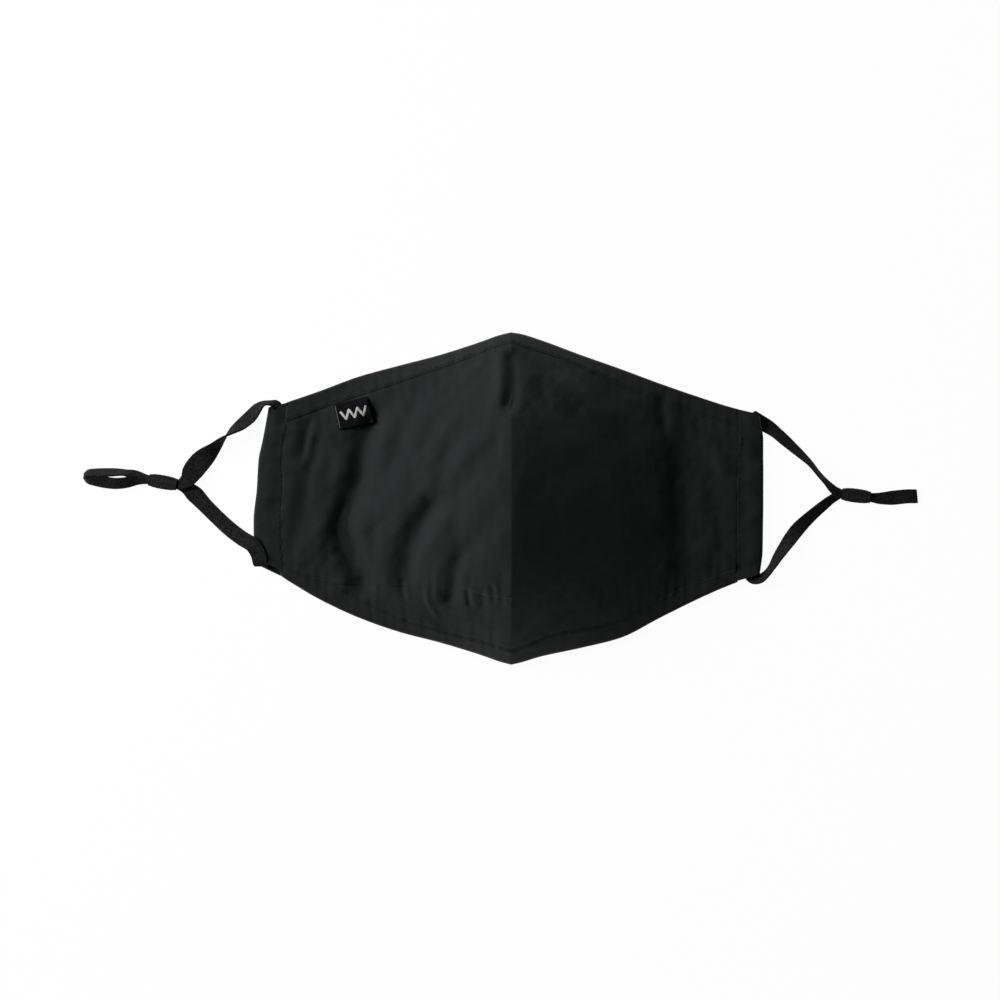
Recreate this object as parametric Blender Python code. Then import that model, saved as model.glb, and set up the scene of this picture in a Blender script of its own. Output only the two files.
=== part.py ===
"""Black cloth face mask that lies face up, with two flat elastic ear loops.

Metres, +Z up, nose towards +Y. The origin lies on the resting surface, under the middle
of the cloth body. The body is one height field over the mask's outline, cut along its
seams into cloth shells. Two flat tubes close its sides, and an ear loop runs through each.
"""

import math
from typing import NamedTuple

import bmesh
import bpy
from mathutils import Vector

# Cloth body
BODY_HEIGHT = 0.1525
LEFT_REACH = 0.1182
RIGHT_REACH = 0.1159
PEAK_HEIGHT = 0.046
NOSE_RIM_HEIGHT = 0.0125
CHIN_RIM_HEIGHT = 0.0045
SIDE_HEIGHT = 0.0042
CLOTH_WALL = 0.0020
SEAM_GAP = 0.0003
FOLD_DEPTH = 0.0050
FOLD_WIDTH = 0.0070
FOLD_TAPER = 0.25

# Hems
TOP_HEM_WIDTH = 0.0083
LOW_HEM_WIDTH = 0.0074
HEM_PROUD = 0.0005

# Side channels
CHANNEL_WIDTH = 0.0125
CHANNEL_WALL = 0.0012
CHANNEL_ROUND = 0.0010
BAND_PASS_LIFT = 0.0018

# Ear loops
BAND_WIDTH = 0.0070
BAND_THICK = 0.0010
BAND_STEP = 0.0024
BAND_CORNER = 0.0004
BAND_REST = 0.0001
TIGHT_STEPS = 3
SLIDER_LENGTH = 0.0128
SLIDER_WALL = 0.0007
SLIDER_FIT = 0.0003
SLIDER_MOUTH = 0.0005
SLIDER_CORNER = 0.0011
SLIDER_HOLLOW_CORNER = 0.00035
SLIDER_SQUEEZE = 0.58
CHANNEL_SQUEEZE = 0.70

# Label
LABEL_LENGTH = 0.0160
LABEL_DROP = 0.0120
LABEL_THICK = 0.0010
LABEL_LIFT = 0.0003
LABEL_TILT = math.radians(13.0)
LABEL_REACH = 0.610
LABEL_RISE = 0.510

# Grid
PANEL_ROW_COUNT = 17
CHIN_ROW_COUNT = 4
HEM_ROW_COUNT = 2
CHANNEL_ROW_COUNT = 13
LABEL_COLUMN_COUNT = 4
LABEL_ROW_COUNT = 3
PLACE_ROUNDS = 4
SHARP_ANGLE = math.radians(50.0)
MILLIMETRE = 0.001

RIDGE_X = (LEFT_REACH - RIGHT_REACH) / 2.0
HALF_HEIGHT = BODY_HEIGHT / 2.0


class EdgeRow(NamedTuple):
    """Edges of one half, at a share of its reach. Heights are shares of half the body height."""

    reach: float
    top: float
    low: float


class SideRow(NamedTuple):
    """Side edge of one half: its share of the reach, and the channel's share of its width."""

    height: float
    reach: float
    channel: float


class SeamRow(NamedTuple):
    """Hem widths as shares of the named ones, and the chin seam as a share of half the height."""

    reach: float
    top_hem: float
    low_hem: float
    chin: float


class FormRow(NamedTuple):
    """Section across one half. Roof is a share of the peak, rims go from nose or chin to side."""

    reach: float
    roof: float
    rim: float


class RiseRow(NamedTuple):
    """Section along the ridge, from the lower edge (0) to the upper edge (1)."""

    along: float
    rise: float


class FoldRow(NamedTuple):
    """A fold from one point to another. Side is -1 left, 1 right. A negative depth is a crest."""

    side: int
    reach_a: float
    height_a: float
    reach_b: float
    height_b: float
    bow: float
    width: float
    depth: float


class RouteRow(NamedTuple):
    """A point of an ear loop's route in millimetres. Lean turns the band, None is a tight fold."""

    x: float
    y: float
    z: float
    lean: float
    width: float


class SliderPlace(NamedTuple):
    """Middle of a slider in millimetres, and its turn in radians."""

    x: float
    y: float
    turn: float


class SwellRow(NamedTuple):
    """Width of a slider, as a share of the named one, at a share of its length."""

    along: float
    swell: float


LEFT_EDGES = [
    EdgeRow(0.000, 1.000, -1.000),
    EdgeRow(0.043, 0.988, -0.982),
    EdgeRow(0.121, 0.946, -0.940),
    EdgeRow(0.276, 0.867, -0.861),
    EdgeRow(0.432, 0.801, -0.801),
    EdgeRow(0.588, 0.740, -0.716),
    EdgeRow(0.743, 0.650, -0.607),
    EdgeRow(0.852, 0.595, -0.508),
    EdgeRow(0.938, 0.578, -0.426),
    EdgeRow(1.000, 0.572, -0.390),
]
RIGHT_EDGES = [
    EdgeRow(0.000, 1.000, -1.000),
    EdgeRow(0.036, 0.990, -0.988),
    EdgeRow(0.115, 0.958, -0.952),
    EdgeRow(0.274, 0.867, -0.897),
    EdgeRow(0.433, 0.782, -0.831),
    EdgeRow(0.591, 0.692, -0.710),
    EdgeRow(0.750, 0.607, -0.589),
    EdgeRow(0.909, 0.532, -0.488),
    EdgeRow(1.000, 0.500, -0.440),
]
LEFT_SIDE = [
    SideRow(-0.41, 1.000, 1.08),
    SideRow(-0.13, 1.000, 1.05),
    SideRow(0.05, 0.988, 1.00),
    SideRow(0.23, 0.981, 0.90),
    SideRow(0.35, 0.965, 0.82),
    SideRow(0.58, 0.938, 0.68),
]
RIGHT_SIDE = [
    SideRow(-0.47, 0.978, 0.90),
    SideRow(-0.31, 0.992, 0.98),
    SideRow(0.11, 1.000, 1.00),
    SideRow(0.35, 0.992, 0.90),
    SideRow(0.52, 0.976, 0.76),
]
LEFT_SEAMS = [
    SeamRow(0.00, 0.60, 1.00, -0.590),
    SeamRow(0.08, 0.62, 1.00, -0.577),
    SeamRow(0.18, 0.70, 0.88, -0.536),
    SeamRow(0.32, 0.82, 0.84, -0.529),
    SeamRow(0.52, 1.04, 1.10, -0.525),
    SeamRow(0.64, 1.06, 1.36, -0.520),
    SeamRow(0.70, 1.00, 1.44, -0.470),
    SeamRow(0.80, 1.02, 1.00, -0.400),
    SeamRow(1.00, 1.10, 0.60, -0.250),
]
RIGHT_SEAMS = [
    SeamRow(0.00, 0.60, 1.00, -0.590),
    SeamRow(0.08, 0.74, 1.10, -0.585),
    SeamRow(0.18, 0.66, 1.30, -0.565),
    SeamRow(0.36, 0.82, 1.20, -0.545),
    SeamRow(0.52, 0.98, 1.20, -0.530),
    SeamRow(0.64, 0.96, 1.20, -0.500),
    SeamRow(0.72, 0.96, 1.10, -0.440),
    SeamRow(0.80, 0.96, 0.95, -0.380),
    SeamRow(1.00, 0.96, 0.80, -0.250),
]
CHIN_END = 0.64

# Lower and upper end of each channel, as shares of half the body height
LEFT_CHANNEL_ENDS = (-0.385, 0.530)
RIGHT_CHANNEL_ENDS = (-0.440, 0.480)

# Stretch of the right channel over which the band below it lifts it, as shares of its length
LIFT_START = 0.72
LIFT_END = 0.89

SECTION = [
    FormRow(0.000, 1.000, 1.00),
    FormRow(0.030, 0.975, 0.90),
    FormRow(0.150, 0.830, 0.58),
    FormRow(0.300, 0.630, 0.34),
    FormRow(0.450, 0.415, 0.18),
    FormRow(0.580, 0.235, 0.08),
    FormRow(0.660, 0.135, 0.03),
    FormRow(0.730, 0.103, 0.00),
    FormRow(0.850, 0.094, 0.00),
    FormRow(1.000, 0.091, 0.00),
]
RIDGE = [
    RiseRow(0.000, 0.00),
    RiseRow(0.050, 0.20),
    RiseRow(0.125, 0.46),
    RiseRow(0.250, 0.79),
    RiseRow(0.375, 0.96),
    RiseRow(0.500, 1.00),
    RiseRow(0.625, 0.93),
    RiseRow(0.750, 0.76),
    RiseRow(0.875, 0.46),
    RiseRow(0.950, 0.22),
    RiseRow(1.000, 0.00),
]
FOLDS = {
    "under_label": FoldRow(-1, 0.560, 0.460, 0.650, 0.000, 0.02, 0.90, 0.95),
    "cheek_left": FoldRow(-1, 0.680, 0.060, 0.640, -0.480, 0.12, 0.90, 0.85),
    "jaw_left": FoldRow(-1, 0.300, 0.060, 0.425, -0.640, 0.03, 0.85, 0.65),
    "chin_pinch_left": FoldRow(-1, 0.160, -0.200, 0.238, -0.600, 0.05, 0.60, 0.50),
    "temple_left": FoldRow(-1, 0.765, 0.560, 0.830, 0.140, -0.04, 0.65, 0.40),
    "nose_dent": FoldRow(-1, 0.018, 0.900, 0.022, 0.500, 0.02, 0.36, 0.55),
    "cheek_right": FoldRow(1, 0.670, 0.400, 0.670, -0.600, 0.00, 0.45, 0.26),
    "temple_right": FoldRow(1, 0.590, 0.640, 0.612, 0.370, 0.00, 0.45, 0.40),
    "nose_crest_right": FoldRow(1, 0.120, 0.800, 0.385, 0.400, 0.02, 0.75, -0.36),
    "wrinkle_right": FoldRow(1, 0.740, -0.450, 0.880, -0.250, 0.05, 0.55, -0.26),
    "wrinkle_upper_right": FoldRow(1, 0.760, 0.200, 0.860, 0.420, -0.05, 0.55, -0.20),
}
COLUMN_SHARES = [
    0.000, 0.014, 0.030, 0.050, 0.080, 0.120, 0.165, 0.210, 0.255, 0.300, 0.345, 0.390,
    0.435, 0.480, 0.525, 0.570, 0.615, 0.660, 0.705, 0.750, 0.800, 0.850, 0.900, 0.950, 1.000,
]

# Sliders: middle in millimetres, and the direction from the mask to the free end
LEFT_SLIDER = SliderPlace(-158.7, 7.5, math.radians(170.0))
RIGHT_SLIDER = SliderPlace(159.6, 1.3, math.radians(-7.0))
SLIDER_SWELL = [
    SwellRow(-0.50, 0.94),
    SwellRow(-0.38, 1.00),
    SwellRow(0.00, 1.04),
    SwellRow(0.38, 1.00),
    SwellRow(0.50, 0.94),
]

# Points of an ear loop's route inside a slider, as shares of half its reach, and inside the
# channels, as shares of a channel's length
SLIDER_PASS = (-1.0, -0.6, 0.0, 0.6, 1.0)
LEFT_CHANNEL_PASS = (0.94, 0.84, 0.70, 0.50, 0.30, 0.12, 0.05)
RIGHT_CHANNEL_PASS = (0.05, 0.12, 0.30, 0.50, 0.70, 0.80, 0.89, 0.96)

# Ear loop routes outside the channels and sliders, in the order that the band runs
LEFT_LOWER_LEG = [
    RouteRow(-112.8, -29.3, 2.1, 0.0, 0.72),
    RouteRow(-113.3, -30.8, 3.6, None, 0.86),
    RouteRow(-113.7, -29.3, 5.1, 180.0, 0.98),
    RouteRow(-114.6, -25.6, 5.1, 180.0, 1.00),
    RouteRow(-117.0, -21.6, 5.1, 180.0, 1.00),
    RouteRow(-122.3, -18.2, 3.4, 180.0, 1.00),
    RouteRow(-127.8, -14.2, 1.6, 180.0, 1.00),
    RouteRow(-133.6, -9.0, 0.7, 180.0, 0.98),
    RouteRow(-139.6, -3.0, 0.7, 180.0, 1.00),
    RouteRow(-144.6, 2.2, 0.8, 180.0, 1.16),
    RouteRow(-148.2, 5.0, 1.3, 180.0, 0.84),
]
LEFT_TAIL = [
    RouteRow(-170.2, 8.7, 1.9, 212.0, 0.76),
    RouteRow(-175.0, 7.4, 2.7, 230.0, 0.98),
    RouteRow(-180.6, 6.9, 2.8, 227.0, 1.00),
    RouteRow(-185.6, 7.5, 2.9, 223.0, 1.00),
    RouteRow(-190.0, 8.1, 3.1, 232.0, 1.00),
    RouteRow(-193.2, 8.6, 3.3, 244.0, 1.00),
    RouteRow(-194.2, 9.5, 3.4, 246.0, 1.00),
    RouteRow(-194.2, 10.6, 3.6, 246.0, 1.00),
    RouteRow(-193.2, 11.4, 3.8, 244.0, 1.00),
    RouteRow(-190.0, 11.75, 3.9, 240.0, 1.00),
    RouteRow(-185.6, 11.85, 3.9, 238.0, 1.00),
    RouteRow(-180.6, 12.0, 3.8, 242.0, 1.00),
    RouteRow(-175.0, 11.7, 3.8, 252.0, 0.98),
    RouteRow(-170.4, 10.2, 3.3, 204.0, 0.76),
]
LEFT_UPPER_LEG = [
    RouteRow(-147.6, 8.2, 3.3, 172.0, 0.98),
    RouteRow(-145.0, 12.2, 3.2, 172.0, 1.38),
    RouteRow(-141.7, 16.5, 2.8, 176.0, 1.42),
    RouteRow(-138.4, 19.8, 2.7, 162.0, 1.26),
    RouteRow(-135.0, 23.1, 3.3, 132.0, 1.06),
    RouteRow(-130.8, 27.5, 3.8, 98.0, 1.00),
    RouteRow(-127.2, 30.6, 3.6, 66.0, 1.00),
    RouteRow(-122.9, 33.8, 2.8, 38.0, 1.00),
    RouteRow(-118.4, 37.7, 2.4, 28.0, 1.00),
    RouteRow(-115.0, 41.4, 2.9, 44.0, 1.00),
    RouteRow(-111.0, 43.8, 3.7, 80.0, 1.00),
    RouteRow(-108.1, 43.5, 3.5, 72.0, 0.94),
    RouteRow(-106.5, 42.5, 2.7, 30.0, 0.80),
    RouteRow(-106.1, 41.1, 2.1, 0.0, 0.70),
]
RIGHT_UPPER_LEG = [
    RouteRow(110.9, 37.4, 3.9, 0.0, 0.72),
    RouteRow(111.2, 38.6, 2.2, None, 0.82),
    RouteRow(111.8, 37.8, 0.6, 180.0, 0.92),
    RouteRow(115.2, 35.4, 0.6, 180.0, 0.98),
    RouteRow(119.3, 32.9, 1.5, 200.0, 0.98),
    RouteRow(122.6, 30.4, 2.6, 218.0, 1.00),
    RouteRow(126.4, 27.1, 2.8, 220.0, 1.00),
    RouteRow(130.5, 23.4, 3.1, 229.0, 1.00),
    RouteRow(134.6, 19.7, 3.4, 238.0, 1.00),
    RouteRow(138.6, 15.8, 3.6, 248.0, 1.00),
    RouteRow(142.2, 11.3, 3.7, 251.0, 1.00),
    RouteRow(145.8, 7.3, 3.7, 248.0, 0.96),
    RouteRow(149.6, 3.6, 3.3, 218.0, 0.68),
]
RIGHT_TAIL = [
    RouteRow(169.8, 0.1, 2.5, 180.0, 0.74),
    RouteRow(176.0, 0.4, 2.0, 180.0, 0.92),
    RouteRow(183.6, 1.1, 1.9, 180.0, 0.90),
    RouteRow(187.4, 1.0, 1.25, None, 0.92),
    RouteRow(183.6, 0.9, 0.6, 360.0, 0.90),
    RouteRow(176.0, 0.2, 0.6, 360.0, 0.92),
    RouteRow(169.8, 0.1, 1.1, 360.0, 0.74),
]
RIGHT_LOWER_LEG = [
    RouteRow(149.8, 0.6, 1.8, 392.0, 0.62),
    RouteRow(144.6, -3.2, 2.3, 400.0, 0.88),
    RouteRow(139.7, -7.3, 2.1, 396.0, 0.94),
    RouteRow(135.3, -11.5, 1.4, 382.0, 0.94),
    RouteRow(131.1, -16.3, 1.2, 346.0, 0.92),
    RouteRow(127.2, -21.5, 2.6, 316.0, 0.98),
    RouteRow(123.6, -26.7, 3.2, 301.0, 1.00),
    RouteRow(120.6, -31.6, 3.5, 286.0, 1.00),
    RouteRow(118.2, -34.6, 3.5, 288.0, 1.00),
    RouteRow(115.6, -36.6, 3.3, 304.0, 0.94),
    RouteRow(112.8, -36.9, 2.8, 324.0, 0.86),
    RouteRow(111.2, -35.8, 2.3, 346.0, 0.78),
    RouteRow(110.8, -34.0, 2.1, 360.0, 0.72),
]

MATERIALS = {
    "cloth": ((0.018, 0.021, 0.022), 0.92),
    "elastic": ((0.022, 0.022, 0.023), 0.88),
    "knit": ((0.018, 0.019, 0.019), 0.90),
    "woven_label": ((0.012, 0.012, 0.013), 0.80),
}


def blend(a, b, share):
    """Value at a share of the way from a to b."""
    return a + (b - a) * share


def column(rows, name):
    """Pairs of a table's first column and the named one."""
    return [(row[0], getattr(row, name)) for row in rows]


def smooth_value(pairs, x):
    """Monotone cubic curve through the pairs, flat beyond its ends."""
    if x <= pairs[0][0]:
        return pairs[0][1]
    if x >= pairs[-1][0]:
        return pairs[-1][1]
    spans = [b[0] - a[0] for a, b in zip(pairs, pairs[1:])]
    slopes = [(b[1] - a[1]) / (b[0] - a[0]) for a, b in zip(pairs, pairs[1:])]
    i = next(k for k in range(len(spans)) if x <= pairs[k + 1][0])

    def tangent(k):
        if k == 0:
            return slopes[0]
        if k == len(slopes):
            return slopes[-1]
        before, after = slopes[k - 1], slopes[k]
        if before * after <= 0.0:
            return 0.0
        return 2.0 * before * after / (before + after)

    s = (x - pairs[i][0]) / spans[i]
    low, high = pairs[i][1], pairs[i + 1][1]
    start, end = tangent(i) * spans[i], tangent(i + 1) * spans[i]
    return (
        (2 * s**3 - 3 * s**2 + 1) * low
        + (s**3 - 2 * s**2 + s) * start
        + (3 * s**2 - 2 * s**3) * high
        + (s**3 - s**2) * end
    )


class Half:
    """One half of the body, on one side of the centre seam."""

    def __init__(self, side, reach, edges, sides, seams, channel_ends):
        self.side = side
        self.reach = reach
        self.channel_ends = [share * HALF_HEIGHT for share in channel_ends]
        self.top = column(edges, "top")
        self.low = column(edges, "low")
        self.edge = column(sides, "reach")
        self.channel = column(sides, "channel")
        self.top_hem = column(seams, "top_hem")
        self.low_hem = column(seams, "low_hem")
        self.chin = column(seams, "chin")

    def line(self, name, x):
        """Height on the table plane (Y) of a named seam or edge at x."""
        u = abs(x - RIDGE_X) / self.reach
        if name == "top":
            return smooth_value(self.top, u) * HALF_HEIGHT
        if name == "low":
            return smooth_value(self.low, u) * HALF_HEIGHT
        if name == "top_hem":
            return self.line("top", x) - smooth_value(self.top_hem, u) * TOP_HEM_WIDTH
        if name == "low_hem":
            return self.line("low", x) + smooth_value(self.low_hem, u) * LOW_HEM_WIDTH
        return smooth_value(self.chin, u) * HALF_HEIGHT

    def edge_x(self, y):
        """X of the side edge at y."""
        return RIDGE_X + self.side * self.reach * smooth_value(self.edge, y / HALF_HEIGHT)

    def seam_x(self, y):
        """X of the seam between the panel and the side channel at y."""
        width = CHANNEL_WIDTH * smooth_value(self.channel, y / HALF_HEIGHT)
        return self.edge_x(y) - self.side * width

    def place(self, share, low_line, high_line, along, low_gap=0.0, high_gap=0.0):
        """Point on the plane at a share of the way to the channel, between two lines."""
        x = blend(RIDGE_X, self.seam_x(0.0), share)
        y = 0.0
        for _ in range(PLACE_ROUNDS):
            y = blend(self.line(low_line, x) + low_gap, self.line(high_line, x) - high_gap, along)
            x = blend(RIDGE_X, self.seam_x(y), share)
        return x, y


LEFT = Half(-1, LEFT_REACH, LEFT_EDGES, LEFT_SIDE, LEFT_SEAMS, LEFT_CHANNEL_ENDS)
RIGHT = Half(1, RIGHT_REACH, RIGHT_EDGES, RIGHT_SIDE, RIGHT_SEAMS, RIGHT_CHANNEL_ENDS)
ROOF = column(SECTION, "roof")
RIM = column(SECTION, "rim")
RISE = column(RIDGE, "rise")


def fold_depth(fold, x, y):
    """How far a fold lowers the cloth at a point."""
    half = LEFT if fold.side < 0 else RIGHT
    ax = RIDGE_X + fold.side * half.reach * fold.reach_a
    ay = HALF_HEIGHT * fold.height_a
    bx = RIDGE_X + fold.side * half.reach * fold.reach_b
    by = HALF_HEIGHT * fold.height_b
    dx, dy = bx - ax, by - ay
    length = math.hypot(dx, dy)
    along = ((x - ax) * dx + (y - ay) * dy) / length**2
    if along <= 0.0 or along >= 1.0:
        return 0.0
    offset = ((x - ax) * dy - (y - ay) * dx) / length
    offset -= fold.bow * length * 4.0 * along * (1.0 - along)
    ends = min(1.0, along / FOLD_TAPER, (1.0 - along) / FOLD_TAPER)
    taper = ends * ends * (3.0 - 2.0 * ends)
    width = fold.width * FOLD_WIDTH
    return fold.depth * FOLD_DEPTH * taper * math.exp(-((offset / width) ** 2))


def cloth_height(x, y):
    """Height of the cloth's upper face over the table."""
    half = LEFT if x < RIDGE_X else RIGHT
    u = abs(x - RIDGE_X) / half.reach
    low, top = half.line("low", x), half.line("top", x)
    along = min(1.0, max(0.0, (y - low) / (top - low)))
    rim_share = smooth_value(RIM, u)
    low_rim = blend(SIDE_HEIGHT, CHIN_RIM_HEIGHT, rim_share)
    top_rim = blend(SIDE_HEIGHT, NOSE_RIM_HEIGHT, rim_share)
    rim = blend(low_rim, top_rim, along)
    roof = max(PEAK_HEIGHT * smooth_value(ROOF, u), SIDE_HEIGHT)
    height = blend(rim, roof, smooth_value(RISE, along))
    height -= sum(fold_depth(fold, x, y) for fold in FOLDS.values())
    return max(height, CLOTH_WALL)


def new_object(name, mesh_data, material):
    """Object from a filled bmesh, with its material."""
    bmesh.ops.recalc_face_normals(mesh_data, faces=mesh_data.faces)
    mesh = bpy.data.meshes.new(name)
    mesh_data.to_mesh(mesh)
    mesh_data.free()
    mesh.shade_smooth()
    mesh.set_sharp_from_angle(angle=SHARP_ANGLE)
    item = bpy.data.objects.new(name, mesh)
    item.data.materials.append(material)
    bpy.context.collection.objects.link(item)
    return item


def make_material(name, colour, roughness):
    """Plain finish of one kind of cloth."""
    material = bpy.data.materials.new(name)
    material.use_nodes = True
    shader = material.node_tree.nodes["Principled BSDF"]
    shader.inputs["Base Color"].default_value = (*colour, 1.0)
    shader.inputs["Roughness"].default_value = roughness
    shader.inputs["Metallic"].default_value = 0.0
    return material


def cloth_shell(name, cells, material, proud=0.0):
    """Closed wall of cloth from cells, each four points on the plane in turn."""
    mesh_data = bmesh.new()
    upper, lower, edges = {}, {}, {}
    for cell in cells:
        keys = []
        for x, y in cell:
            key = (round(x, 7), round(y, 7))
            keys.append(key)
            if key not in upper:
                z = cloth_height(x, y)
                upper[key] = mesh_data.verts.new((x, y, z + proud))
                lower[key] = mesh_data.verts.new((x, y, max(0.0, z - CLOTH_WALL)))
        mesh_data.faces.new([upper[key] for key in keys])
        mesh_data.faces.new([lower[key] for key in reversed(keys)])
        for a, b in zip(keys, keys[1:] + keys[:1]):
            if (b, a) in edges:
                del edges[(b, a)]
            else:
                edges[(a, b)] = True
    for a, b in edges:
        mesh_data.faces.new([upper[b], upper[a], lower[a], lower[b]])
    return new_object(name, mesh_data, material)


def grid_cells(half, shares, zone):
    """Cells of one half, between column shares, in a zone of (low line, high line, rows, gaps)."""
    low_line, high_line, rows, low_gap, high_gap = zone
    cells = []
    for left, right in zip(shares, shares[1:]):
        for row in range(rows):
            a, b = row / rows, (row + 1) / rows
            cell = [
                half.place(left, low_line, high_line, a, low_gap, high_gap),
                half.place(right, low_line, high_line, a, low_gap, high_gap),
                half.place(right, low_line, high_line, b, low_gap, high_gap),
                half.place(left, low_line, high_line, b, low_gap, high_gap),
            ]
            cells.append(cell if half.side > 0 else cell[::-1])
    return cells


def inner_shares(half, start, end):
    """Column shares from start to end, kept a gap clear of the centre seam and the channel."""
    length = abs(half.seam_x(0.0) - RIDGE_X)
    trim = SEAM_GAP / 2.0 / length
    low, high = start + trim, end - trim
    return [low] + [s for s in COLUMN_SHARES if low + trim < s < high - trim] + [high]


def chin_share(half):
    """Column share where the chin seam ends on the low hem."""
    return CHIN_END * half.reach / abs(half.seam_x(0.0) - RIDGE_X)


def make_panel(name, half, material):
    """Main panel, with the strip below the chin seam's outer end."""
    gap = SEAM_GAP / 2.0
    inner = inner_shares(half, 0.0, chin_share(half))
    outer = inner_shares(half, chin_share(half), 1.0)
    cells = grid_cells(half, inner + outer, ("chin", "top_hem", PANEL_ROW_COUNT, gap, gap))
    cells += grid_cells(half, outer, ("low_hem", "chin", CHIN_ROW_COUNT, gap, -gap))
    return cloth_shell(name, cells, material)


def make_chin(name, half, material):
    """Lower piece between the chin seam and the low hem."""
    gap = SEAM_GAP / 2.0
    zone = ("low_hem", "chin", CHIN_ROW_COUNT, gap, gap)
    cells = grid_cells(half, inner_shares(half, 0.0, chin_share(half)), zone)
    return cloth_shell(name, cells, material)


def make_hem(name, low_line, high_line, low_gap, high_gap, material):
    """Stitched band along one edge, across both halves."""
    zone = (low_line, high_line, HEM_ROW_COUNT, low_gap, high_gap)
    cells = []
    for half in (LEFT, RIGHT):
        shares = inner_shares(half, 0.0, 1.0)
        shares[0] = 0.0
        cells += grid_cells(half, shares, zone)
    return cloth_shell(name, cells, material, HEM_PROUD)


def channel_lift(half, along):
    """How far the ear loop that passes below raises the right channel's upper end."""
    if half.side < 0:
        return 0.0
    share = min(1.0, max(0.0, (along - LIFT_START) / (LIFT_END - LIFT_START)))
    return BAND_PASS_LIFT * share * share * (3.0 - 2.0 * share)


def channel_section(half, along):
    """Outer and inner rings of a side channel, from its lower end (0) to its upper end (1)."""
    wall, turn = CHANNEL_WALL, CHANNEL_ROUND
    y = blend(*half.channel_ends, along)
    edge = half.edge_x(y)
    seam = half.seam_x(y) + half.side * SEAM_GAP / 2.0
    base = channel_lift(half, along)
    top = base + SIDE_HEIGHT
    side = half.side
    middle = (edge + seam) / 2.0
    outer = [
        (seam, base), (middle, base), (edge - side * turn, base), (edge, base + turn),
        (edge, top - turn), (edge - side * turn, top), (middle, top), (seam, top),
    ]
    near, far = seam + side * wall, edge - side * wall
    soft = turn / 3.0
    inner = [
        (near, base + wall), (middle, base + wall), (far - side * soft, base + wall),
        (far, base + wall + soft), (far, top - wall - soft), (far - side * soft, top - wall),
        (middle, top - wall), (near, top - wall),
    ]
    return [[Vector((x, y, z)) for x, z in ring] for ring in (outer, inner)]


def tube(name, sections, material):
    """Closed wall between matching outer and inner rings, open at both ends."""
    mesh_data = bmesh.new()
    rings = [[[mesh_data.verts.new(p) for p in ring] for ring in pair] for pair in sections]
    count = len(rings[0][0])
    for near, far in zip(rings, rings[1:]):
        for i in range(count):
            j = (i + 1) % count
            mesh_data.faces.new([near[0][i], near[0][j], far[0][j], far[0][i]])
            mesh_data.faces.new([near[1][j], near[1][i], far[1][i], far[1][j]])
    for pair, step in ((rings[0], -1), (rings[-1], 1)):
        for i in range(count):
            j = (i + 1) % count
            face = [pair[0][i], pair[0][j], pair[1][j], pair[1][i]]
            mesh_data.faces.new(face[::step])
    return new_object(name, mesh_data, material)


def make_channel(name, half, material):
    """Flat side tube that the ear loop runs through."""
    sections = [channel_section(half, row / CHANNEL_ROW_COUNT) for row in range(CHANNEL_ROW_COUNT + 1)]
    return tube(name, sections, material)


def channel_route(half, alongs):
    """Route rows along the middle of a channel's hollow, in millimetres."""
    rows = []
    for along in alongs:
        _, inner = channel_section(half, along)
        middle = sum(inner, Vector()) / len(inner)
        lean = 0.0 if half.side < 0 else 360.0
        rows.append(RouteRow(*(middle / MILLIMETRE), lean, CHANNEL_SQUEEZE))
    return rows


def slider_pass(place, upper, outward, lean):
    """Route rows through a slider, as the upper or lower of its two passes."""
    height = SLIDER_WALL + SLIDER_FIT + BAND_THICK / 2.0
    if upper:
        height += BAND_THICK + SLIDER_FIT
    reach = SLIDER_LENGTH / 2.0 + SLIDER_MOUTH
    rows = []
    for share in SLIDER_PASS:
        along = reach / MILLIMETRE * share * (1.0 if outward else -1.0)
        x = place.x + math.cos(place.turn) * along
        y = place.y + math.sin(place.turn) * along
        rows.append(RouteRow(x, y, height / MILLIMETRE, lean, SLIDER_SQUEEZE))
    return rows


def band_sides(points, route):
    """Direction across the band at each row of a closed route."""
    count = len(points)
    sides = []
    for i, row in enumerate(route):
        ahead = (points[(i + 1) % count] - points[i - 1]).normalized()
        if row.lean is None:
            sides.append(None)
            continue
        across = Vector((0.0, 0.0, 1.0)).cross(ahead).normalized()
        lean = math.radians(row.lean)
        face = Vector((0.0, 0.0, 1.0)) * math.cos(lean) + across * math.sin(lean)
        sides.append(face.cross(ahead).normalized())
    for i, side in enumerate(sides):
        if side is None:
            sides[i] = (sides[i - 1] + sides[(i + 1) % count]).normalized()
    return sides


def spline_point(points, i, s):
    """Point on the closed curve through the points, at share s after point i."""
    count = len(points)
    p0, p1, p2, p3 = (points[(i + k) % count] for k in (-1, 0, 1, 2))
    d1 = max((p2 - p1).length, 1e-6)
    d0, d2 = max((p1 - p0).length, 1e-6), max((p3 - p2).length, 1e-6)
    m1 = ((p2 - p1) / d1 * d0 + (p1 - p0) / d0 * d1) / (d0 + d1) * d1
    m2 = ((p3 - p2) / d2 * d1 + (p2 - p1) / d1 * d2) / (d1 + d2) * d1
    return (
        (2 * s**3 - 3 * s**2 + 1) * p1
        + (s**3 - 2 * s**2 + s) * m1
        + (3 * s**2 - 2 * s**3) * p2
        + (s**3 - s**2) * m2
    )


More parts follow.
